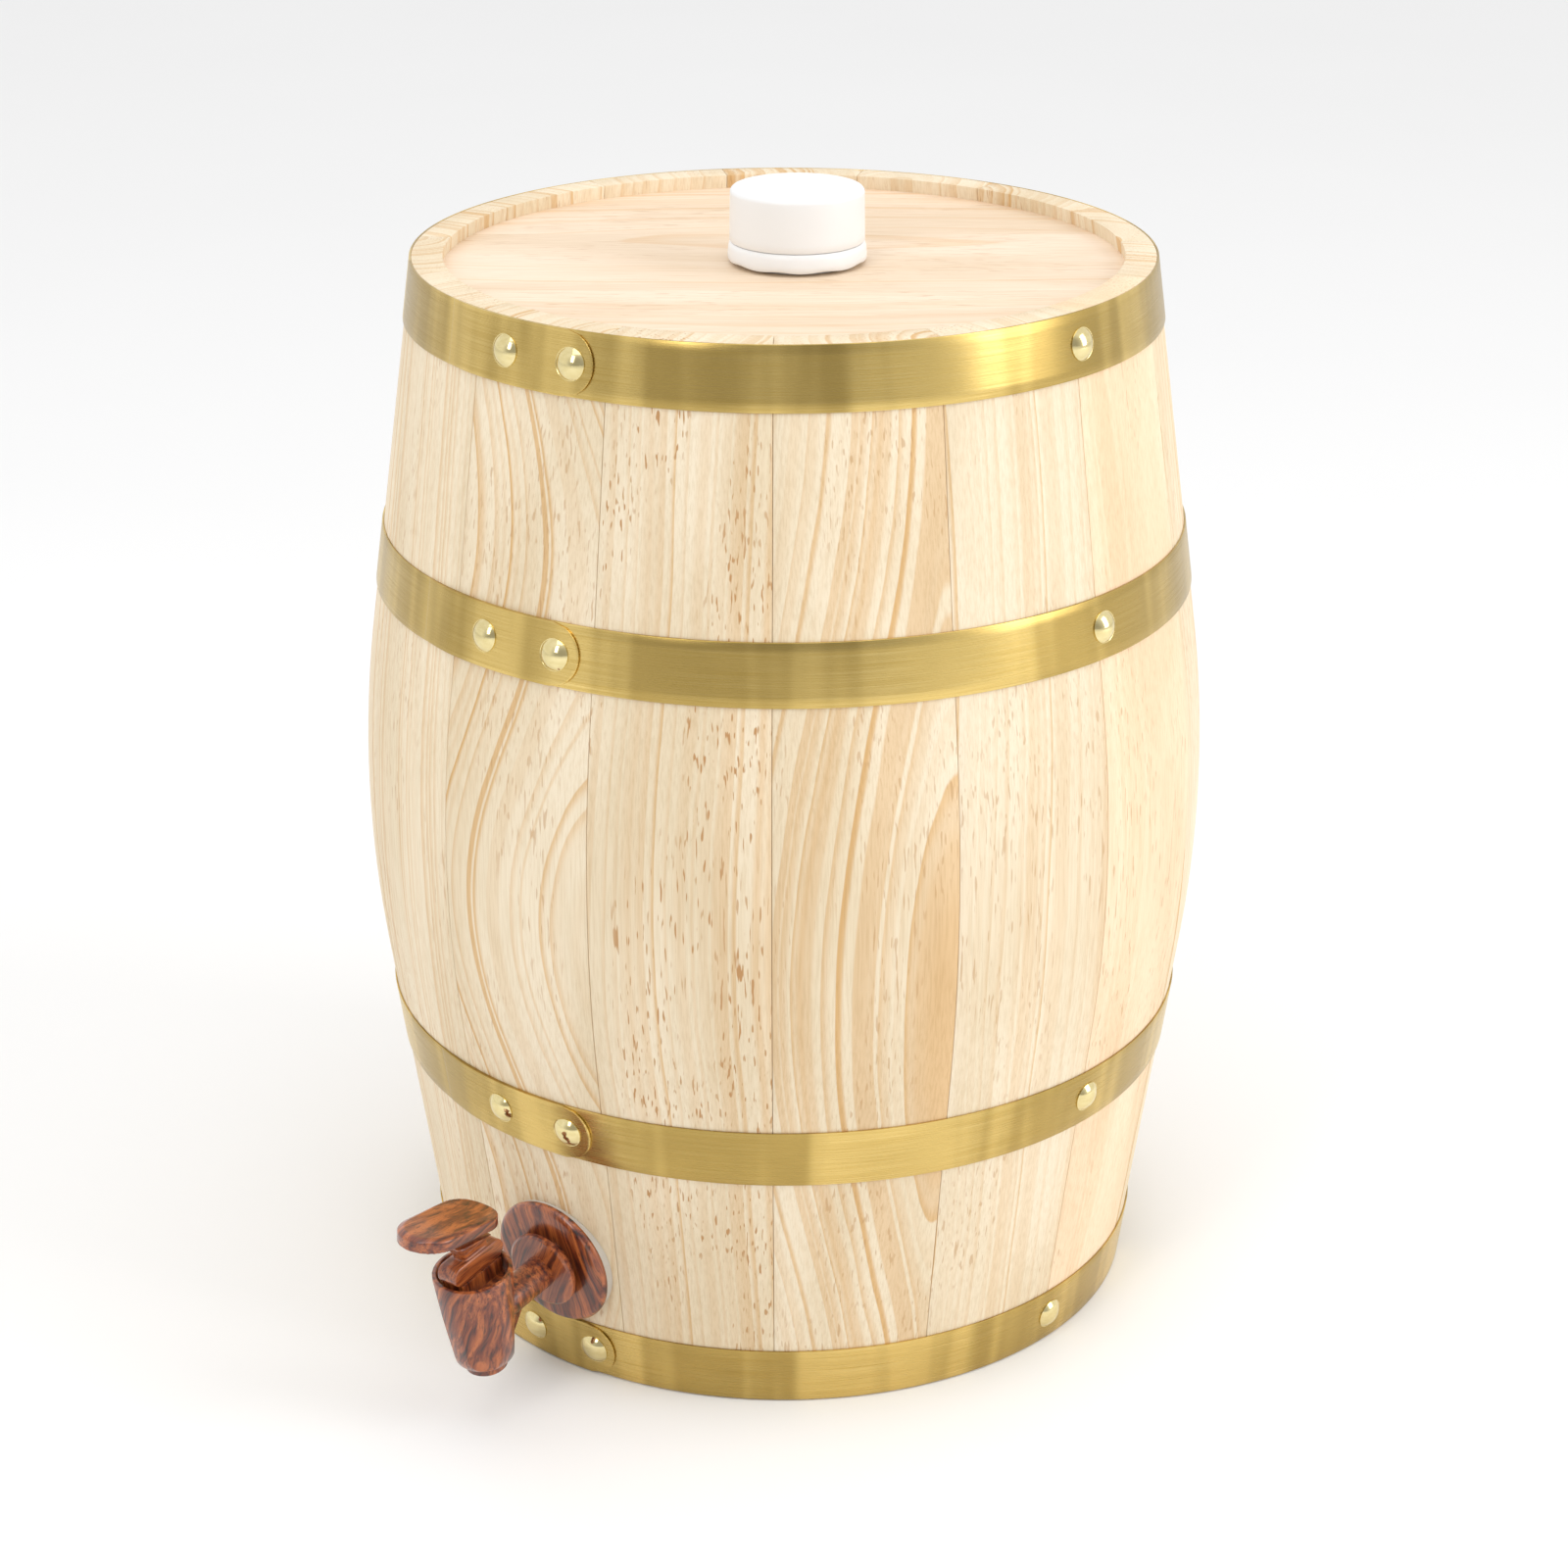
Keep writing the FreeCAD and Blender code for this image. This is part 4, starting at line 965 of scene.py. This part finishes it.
@dataclass
class Closure:
    """Screw cap and the tamper ring left on the neck."""

    axis: tuple[float, float] = (3.7 * MM, 2.7 * MM)
    cap_low: float = 386.95 * MM
    cap_height: float = 18.4 * MM
    cap_radius: float = 23.5 * MM
    cap_wall: float = 3.2 * MM
    cap_top: float = 2.0 * MM
    edge: float = 1.9 * MM
    draft: float = 0.25 * MM
    ring_low: float = 380.0 * MM
    ring_height: float = 6.7 * MM
    ring_radius: float = 24.1 * MM
    ring_inside: float = 19.95 * MM
    ring_waves: int = 9
    ring_wave: float = 0.5 * MM

    def moved(self, bm: Mesh) -> Mesh:
        """Carry a turned mesh to the neck's axis."""
        return carried(bm, Matrix.Translation((self.axis[0], self.axis[1], 0)))

    def cap(self) -> Mesh:
        """Plain cup with a generously rounded top edge and a faint step above its rim."""
        low, high = self.cap_low, self.cap_low + self.cap_height
        radius, inside = self.cap_radius, self.cap_radius - self.cap_wall
        outline = [(inside, low), (radius - 0.3 * MM, low), (radius, low + 0.5 * MM)]
        outline += [
            (radius - self.draft * i / 6, low + (self.cap_height - self.edge) * i / 6) for i in range(1, 7)]
        for step in range(1, 9):
            angle = math.radians(90) * step / 8
            turn_r = radius - self.draft - self.edge * (1 - math.cos(angle))
            outline.append((turn_r, high - self.edge * (1 - math.sin(angle))))
        outline += [(radius * share, high) for share in (0.8, 0.5, 0.0)]
        outline += [(0.0, high - self.cap_top), (inside, high - self.cap_top)]
        return self.moved(turned(outline, 128))

    def ring(self) -> Mesh:
        """Band under the cap with a rolled shoulder and a gently scalloped lower edge."""
        low, high = self.ring_low, self.ring_low + self.ring_height
        radius, inside = self.ring_radius, self.ring_inside
        outline = [
            (inside, low), (radius - 1.2 * MM, low), (radius - 0.5 * MM, low + 0.2 * MM),
            (radius, low + 1.0 * MM), (radius, low + 2.6 * MM), (radius - 0.15 * MM, low + 4.6 * MM),
            (radius - 0.5 * MM, high - 0.6 * MM), (radius - 1.0 * MM, high), (inside, high),
        ]
        bm = spun(outline, 0.0, FULL_TURN, 144)
        for vert in bm.verts:
            drop = max(0.0, 1 - (vert.co.z - low) / (2.6 * MM))
            angle = math.atan2(vert.co.y, vert.co.x)
            vert.co.z += drop * self.ring_wave * (1 + math.sin(self.ring_waves * angle)) / 2
        return self.moved(bm)

    def build(self, white: bpy.types.Material) -> None:
        """Model and dress the cap and the ring."""
        set_out("screw_cap", self.cap(), 40.0, white, "cap_shell", "cap")
        set_out("tamper_band", self.ring(), 40.0, white, "root", "cap_tamper_ring")


@dataclass
class Tap:
    """Press tap, modelled level with its shank along local Y, then leaned to the stave."""

    height: float = 46.3 * MM
    lean_deg: float = 7.994
    reach: float = 42.0 * MM
    gasket: float = 1.0 * MM
    gasket_radius: float = 23.4 * MM
    plate_radius: float = 24.0 * MM
    plate_thickness: float = 3.2 * MM
    hub_length: float = 2.5 * MM
    hub_radius: float = 11.0 * MM
    collar_radius: float = 14.1 * MM
    collar_thickness: float = 2.5 * MM
    shank_radius: float = 8.0 * MM
    shank_inside: float = 32.0 * MM
    neck_radius: float = 6.0 * MM
    rim: float = 22.5 * MM
    body_radius: float = 14.1 * MM
    shoulder: float = -15.6 * MM
    spout_end: float = -18.7 * MM
    spout_radius: float = 7.4 * MM
    cup_radius: float = 12.2 * MM
    cup_depth: float = 5.4 * MM
    facet_distance: float = 10.7 * MM
    facet_lean_deg: float = 6.5
    facet_height: float = -6.0 * MM
    gusset_drop: float = 16.0 * MM
    gusset_length: float = 14.0 * MM
    gusset_half: float = 2.0 * MM
    gusset_root: float = 9.0 * MM
    pin_height: float = 26.42 * MM
    cheek_span: float = 9.1 * MM
    cheek_radius: float = 3.6 * MM
    cheek_half: float = 4.0 * MM
    paddle_height: float = 46.0 * MM
    paddle_tilt_deg: float = 13.0
    paddle_half: float = 11.0 * MM
    paddle_front: float = 27.9 * MM
    paddle_back: float = 10.5 * MM
    paddle_bow: float = 8.0 * MM
    paddle_thickness: float = 4.0 * MM
    lip_width: float = 1.9 * MM
    lip_height: float = 1.0 * MM
    lip_start: float = 13.0 * MM
    lip_run: float = 2.0 * MM

    @property
    def place(self) -> Matrix:
        """From the tap's level frame to the part's frame."""
        seat = Vector((0, -SIDE.radius(self.height), self.height))
        return Matrix.Translation(seat) @ Matrix.Rotation(math.radians(self.lean_deg), 4, "X")

    @property
    def outward(self) -> Matrix:
        """Turns local Z to point out along the shank."""
        return Matrix.Rotation(math.radians(90), 4, "X")

    @property
    def column(self) -> Matrix:
        """The upright body's axis."""
        return Matrix.Translation((0, -self.reach, 0))

    def settled(self, bm: Mesh) -> Mesh:
        """Lean a level mesh to its place on the stave."""
        return carried(bm, self.place)

    def plate(self) -> Mesh:
        """Wall plate with a softly crowned face."""
        back, front = self.gasket, self.gasket + self.plate_thickness
        radius = self.plate_radius
        outline = [
            (self.shank_radius, back), (radius - 0.5 * MM, back),
            (radius, back + 0.6 * MM), (radius, back + 1.4 * MM),
            (radius - 0.35 * MM, back + 2.1 * MM), (radius - 1.1 * MM, front - 0.35 * MM),
            (radius - 2.4 * MM, front - 0.08 * MM), (radius * 0.7, front), (self.shank_radius, front),
        ]
        return self.settled(carried(turned(outline, 128), self.outward))

    def casing(self) -> Mesh:
        """Upright body: turned, cupped on top, then pared to four faces."""
        rim, cup, shoulder = self.rim, self.cup_radius, self.shoulder
        outline = [
            (0.0, shoulder + 2.0 * MM), (4.5 * MM, shoulder + 2.0 * MM), (4.5 * MM, self.spout_end),
            (self.spout_radius - 0.5 * MM, self.spout_end), (self.spout_radius, self.spout_end + 0.5 * MM),
            (self.spout_radius, shoulder - 0.5 * MM), (self.spout_radius + 0.6 * MM, shoulder - 0.2 * MM),
            (9.0 * MM, shoulder + 0.5 * MM), (10.3 * MM, shoulder + 1.8 * MM),
            (11.2 * MM, shoulder + 3.8 * MM), (12.0 * MM, shoulder + 6.6 * MM),
            (12.9 * MM, -1.8 * MM), (13.6 * MM, 3.0 * MM),
            (self.body_radius, 8.0 * MM),
            (self.body_radius, 15.0 * MM), (self.body_radius, rim - 0.9 * MM),
            (self.body_radius - 0.3 * MM, rim - 0.2 * MM), (self.body_radius - 0.8 * MM, rim),
            (cup + 0.4 * MM, rim), (cup, rim - 0.5 * MM), (cup - 0.3 * MM, rim - self.cup_depth),
            (0.0, rim - self.cup_depth),
        ]
        bm = turned(outline, 96)
        lean = math.radians(self.facet_lean_deg)
        for quarter in range(4):
            heading = math.radians(45 + 90 * quarter)
            flat = Vector((math.cos(heading), math.sin(heading), 0))
            normal = flat * math.cos(lean) - Vector((0, 0, math.sin(lean)))
            point = flat * self.facet_distance + Vector((0, 0, self.facet_height))
            cut = bmesh.ops.bisect_plane(
                bm, geom=list(bm.verts) + list(bm.edges) + list(bm.faces), plane_co=point, plane_no=normal,
                clear_outer=True)
            rim_edges = [g for g in cut["geom_cut"] if isinstance(g, bmesh.types.BMEdge)]
            bmesh.ops.holes_fill(bm, edges=rim_edges, sides=0)
        bmesh.ops.dissolve_degenerate(bm, dist=0.02 * MM, edges=bm.edges)
        return carried(bm, self.column)

    def gusset(self) -> Mesh:
        """Triangular web under the neck."""
        bm = bmesh.new()
        half = self.gusset_half
        back = -self.reach + self.gusset_root
        inset = self.facet_distance - self.gusset_root
        corners = [
            (0, 0), (inset + self.gusset_length, 0), (inset, -self.gusset_drop), (0, -self.gusset_drop)]
        verts = [bm.verts.new((-half, back + y, z)) for y, z in corners]
        face = bm.faces.new(verts)
        side = bmesh.ops.extrude_face_region(bm, geom=[face])
        moved = [g for g in side["geom"] if isinstance(g, bmesh.types.BMVert)]
        bmesh.ops.translate(bm, vec=(2 * half, 0, 0), verts=moved)
        bmesh.ops.recalc_face_normals(bm, faces=bm.faces)
        return bm

    def body(self) -> Mesh:
        """Shank, collar, neck, gusset and casing, each a closed shell sunk into the next."""
        plate_front = self.gasket + self.plate_thickness
        collar_back = plate_front + self.hub_length
        collar_front = collar_back + self.collar_thickness
        collar = turned([
            (0.0, plate_front - 1.0 * MM), (self.hub_radius, plate_front - 1.0 * MM),
            (self.hub_radius, collar_back),
            (self.collar_radius - 0.3 * MM, collar_back), (self.collar_radius, collar_back + 0.4 * MM),
            (self.collar_radius, collar_front - 0.7 * MM), (self.collar_radius - 0.9 * MM, collar_front),
            (0.0, collar_front + 0.6 * MM),
        ], 96)
        carried(collar, self.outward)
        shank_place = self.outward @ Matrix.Translation((0, 0, -self.shank_inside))
        neck_place = self.outward @ Matrix.Translation((0, 0, collar_front - 0.5 * MM))
        parts = [
            collar,
            cylinder(self.shank_radius, self.shank_inside + plate_front, shank_place),
            cylinder(self.neck_radius, self.reach - collar_front, neck_place),
            self.gusset(),
            self.casing(),
        ]
        return self.settled(joined(parts))

    def washer(self) -> Mesh:
        """Pale washer behind the plate, its back following the stave."""
        inner = self.shank_radius + 0.2 * MM
        outer = self.gasket_radius
        bm = turned([(inner, 0), (outer, 0), (outer, self.gasket), (inner, self.gasket)], 128)
        backs = [vert for vert in bm.verts if vert.co.z < self.gasket / 2]
        self.settled(carried(bm, self.outward))
        outward = (self.place.to_3x3() @ Vector((0, -1, 0))).normalized()
        for vert in backs:
            for _ in range(6):
                azimuth = math.atan2(vert.co.x, -vert.co.y)
                seat = SIDE.point(azimuth, vert.co.z, 0.03 * MM)
                radial = Vector((math.sin(azimuth), -math.cos(azimuth), 0))
                vert.co += outward * ((seat - vert.co).dot(radial) / outward.dot(radial))
        return bm

    def paddle_outline(self) -> list[tuple[float, float]]:
        """Plan of the paddle: straight sides, a round front and a gently bowed back."""
        half, steps = self.paddle_half, 40
        front = -(self.paddle_front - half)
        back = self.paddle_back - self.paddle_bow
        angles = [math.pi + math.pi * i / steps for i in range(steps + 1)]
        points = [(half * math.cos(angle), front + half * math.sin(angle)) for angle in angles]
        for step in range(steps + 1):
            across = half * math.cos(math.pi * step / steps)
            bow = self.paddle_bow * math.sqrt(max(0.0, 1 - (abs(across) / half) ** 2.6))
            points.append((across, back + bow))
        return points

    def paddle(self) -> Mesh:
        """Broad thumb plate with a raised lip round its front."""
        bm = bmesh.new()
        low = [bm.verts.new((x, y, -self.paddle_thickness)) for x, y in self.paddle_outline()]
        base = bm.faces.new(low)
        raised = bmesh.ops.extrude_face_region(bm, geom=[base], use_keep_orig=True)
        lifted = [g for g in raised["geom"] if isinstance(g, bmesh.types.BMVert)]
        bmesh.ops.translate(bm, vec=(0, 0, self.paddle_thickness), verts=lifted)
        bmesh.ops.remove_doubles(bm, verts=bm.verts, dist=0.01 * MM)
        bmesh.ops.recalc_face_normals(bm, faces=bm.faces)
        crown = [f for f in bm.faces if f.normal.z > 0.9]
        rim = [v for f in crown for v in f.verts]
        bmesh.ops.inset_region(bm, faces=crown, thickness=self.lip_width, use_even_offset=True)
        for vert in rim:
            ahead = max(0.0, min(1.0, (-vert.co.y - self.lip_start) / self.lip_run))
            vert.co.z += self.lip_height * ahead * ahead * (3 - 2 * ahead)
        tilt = Matrix.Rotation(math.radians(-self.paddle_tilt_deg), 4, "X")
        return carried(bm, self.column @ Matrix.Translation((0, 0, self.paddle_height)) @ tilt)

    def cheek(self) -> Mesh:
        """Rounded bar that rocks on the bonnet."""
        bm = bmesh.new()
        sideways = Matrix.Rotation(math.radians(90), 4, "Y")
        bmesh.ops.create_cone(
            bm, cap_ends=True, segments=64, radius1=self.cheek_radius, radius2=self.cheek_radius,
            depth=2 * self.cheek_half, matrix=sideways)
        for vert in bm.verts:
            vert.co.y += self.cheek_span if vert.co.y > 0 else -self.cheek_span
        bmesh.ops.translate(bm, vec=(0, -self.reach, self.pin_height), verts=bm.verts)
        return bm

    def web(self) -> Mesh:
        """Web that flares from the cheek into the underside of the paddle."""
        bm = bmesh.new()
        rows = [
            (27.2, 3.0, -6.4, 7.4), (30.2, 3.0, -5.8, 6.8), (33.0, 3.5, -6.4, 6.6),
            (35.4, 5.0, -8.6, 6.2), (37.6, 8.0, -12.0, 5.6),
        ]
        loops = []
        for height, half, front, back in rows:
            corners = [(-half, front), (half, front), (half, back), (-half, back)]
            lift = math.tan(math.radians(self.paddle_tilt_deg)) if height > 37 else 0.0
            loop = [bm.verts.new((x * MM, y * MM - self.reach, (height - y * lift) * MM)) for x, y in corners]
            loops.append([bm.edges.new((a, b)) for a, b in zip(loop, loop[1:] + loop[:1])])
        for lower, upper in zip(loops, loops[1:]):
            bmesh.ops.bridge_loops(bm, edges=lower + upper)
        bmesh.ops.holes_fill(bm, edges=bm.edges, sides=4)
        bmesh.ops.recalc_face_normals(bm, faces=bm.faces)
        soften(bm, 1.6 * MM, 3, 50.0)
        return bm

    def lever(self) -> Mesh:
        """Paddle, web and cheek melted into one moulding."""
        parts = [self.paddle(), self.cheek(), self.web()]
        return self.settled(fused("lever", joined(parts), 0.33 * MM, 3))

    def build(
            self, groups: Groups, nodes: Nodes,
            silicone: bpy.types.Material) -> None:
        """Model and dress the tap."""
        print_, slot = RosewoodFinish(), "tap_plastic"
        lean = math.radians(self.lean_deg)
        plate = print_.make("rosewood_plate", groups, (-lean, math.radians(12), 0), (0.11, 0, 0))
        set_out("tap_plate", self.plate(), 40.0, plate, "root", "tap_escutcheon")
        body = print_.make("rosewood_body", groups, (-lean, math.radians(-24), 0), (0.03, 0.05, 0))
        set_out("tap_casting", self.body(), 26.0, body, "root", "tap_body")
        lever = print_.make("rosewood_lever", groups, (math.radians(90) - lean, 0, 0), (0.07, 0.2, 0))
        set_out("tap_handle", self.lever(), 60.0, lever, "lever", "tap_lever")
        set_out("tap_washer", self.washer(), 40.0, silicone, "root", "tap_outer_gasket")
        bonnet = print_.make("rosewood_bonnet", groups, (-lean, 0.0, math.radians(20)), (0.3, 0, 0))
        dress(nodes["tap_bonnet"], bonnet)


# Studio


@dataclass
class Studio:
    """Pale floor, soft lights and the camera."""

    camera_azimuth_deg: float = 36.5
    camera_distance: float = 1162.4 * MM
    camera_height: float = 661.4 * MM
    camera_pitch_deg: float = 22.37
    lens: float = 78.28
    sensor: float = 36.0
    world_bright: float = 1.0
    world_dim: float = 0.45

    def camera(self) -> None:
        """Camera at the photograph's angle."""
        data = bpy.data.cameras.new("camera")
        data.lens = self.lens
        data.sensor_width = self.sensor
        azimuth = math.radians(self.camera_azimuth_deg)
        camera = bpy.data.objects.new("camera", data)
        camera.location = (
            self.camera_distance * math.sin(azimuth), -self.camera_distance * math.cos(azimuth),
            self.camera_height)
        camera.rotation_euler = (math.radians(90 - self.camera_pitch_deg), 0, azimuth)
        bpy.context.scene.collection.objects.link(camera)
        bpy.context.scene.camera = camera

    def floor(self) -> None:
        """Plain pale floor with a faint mottle."""
        bm = bmesh.new()
        bmesh.ops.create_grid(bm, x_segments=4, y_segments=4, size=12.0)
        floor = new_piece("floor", bm)
        bench = Bench("pale_floor")
        cloud = bench.graph.noise(bench.place, 3.0, 2.0)
        shade = bench.graph.mix(cloud, rgba(0.90, 0.90, 0.90), rgba(0.88, 0.88, 0.88))
        bench.link(shade, "Base Color")
        bench.shader.inputs["Roughness"].default_value = 0.85
        bench.shader.inputs["Specular IOR Level"].default_value = 0.1
        dress(floor, bench.material)

    def softbox(self, name: str, azimuth_deg: float, distance: float, height: float,
                size: tuple[float, float], power: float, aim: float = 0.2) -> None:
        """One rectangular light that faces the barrel.

        Args:
            name: Its name.
            azimuth_deg: Angle from the tap's direction towards +X.
            distance: Distance from the barrel's axis.
            height: Height above the floor.
            size: Width and height.
            power: Watts.
            aim: Height that it points at.
        """
        data = bpy.data.lights.new(name, "AREA")
        data.shape = "RECTANGLE"
        data.size, data.size_y = size
        data.energy = power
        azimuth = math.radians(azimuth_deg)
        lamp = bpy.data.objects.new(name, data)
        lamp.location = (distance * math.sin(azimuth), -distance * math.cos(azimuth), height)
        heading = Vector((0, 0, aim)) - lamp.location
        lamp.rotation_euler = heading.to_track_quat("-Z", "Y").to_euler()
        bpy.context.scene.collection.objects.link(lamp)

    def world(self) -> None:
        """White surroundings that fall off behind the camera, so that metal has something dark to show."""
        world = bpy.data.worlds.new("studio")
        world.use_nodes = True
        graph = Graph(world.node_tree)
        azimuth = math.radians(self.camera_azimuth_deg)
        behind = (math.sin(azimuth), -math.cos(azimuth), 0.0)
        way = graph.node("ShaderNodeTexCoord").outputs["Generated"]
        facing = graph.node("ShaderNodeVectorMath", {0: way, 1: behind}, operation="DOT_PRODUCT")
        power = graph.span(facing.outputs["Value"], 0.35, 0.95, self.world_bright, self.world_dim)
        back = world.node_tree.nodes["Background"]
        back.inputs["Color"].default_value = rgba(1.0, 1.0, 1.0)
        world.node_tree.links.new(power, back.inputs["Strength"])
        bpy.context.scene.world = world

    def build(self) -> None:
        """Set up the studio."""
        self.camera()
        self.floor()
        self.world()
        view = self.camera_azimuth_deg
        self.softbox("key", view - 30, 1.8, 1.4, (0.5, 1.2), 8)
        self.softbox("right", view + 70, 1.6, 0.9, (0.8, 1.4), 11)
        self.softbox("top", view - 10, 0.5, 2.2, (1.4, 1.4), 7)


def dress_inside(groups: Groups, nodes: Nodes) -> dict[Finish, bpy.types.Material]:
    """Give every carried-over plain piece its finish.

    Args:
        groups: The shared groups.
        nodes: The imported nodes, by name.

    Returns:
        The plain materials, by finish.
    """
    made = {finish: recipe.make(finish.value, groups) for finish, recipe in MOULDED.items()}
    choice = {
        "liner_bladder": Finish.BLADDER_FILM,
        "liner_neck": Finish.WHITE_MOULDING,
        "cap_seal_wad": Finish.SILICONE,
        "tap_inner_gasket": Finish.SILICONE,
        "tap_lock_nut": Finish.BLACK_MOULDING,
        "stem_oring": Finish.BLACK_MOULDING,
        "valve_stem": Finish.WHITE_MOULDING,
        "stem_seal": Finish.SILICONE,
        "stem_spring": Finish.BRIGHT_STEEL,
        "lever_pin": Finish.BRIGHT_STEEL,
    }
    for name, finish in choice.items():
        dress(nodes[name], made[finish])
    return made


def main() -> None:
    """Build every sub-assembly in order."""
    logging.basicConfig(level=logging.INFO, format="%(name)s %(message)s")
    bpy.context.scene.view_settings.view_transform = "Standard"
    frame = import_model()
    nodes = frame["nodes"]
    groups = Groups()
    Studio().build()
    plain = dress_inside(groups, nodes)
    shell = Shell()
    shell.build_staves(groups)
    shell.dress_heads(groups, nodes)
    Hoops().build(groups)
    Closure().build(plain[Finish.WHITE_MOULDING])
    Tap().build(groups, nodes, plain[Finish.SILICONE])


if __name__ == "__main__":
    main()
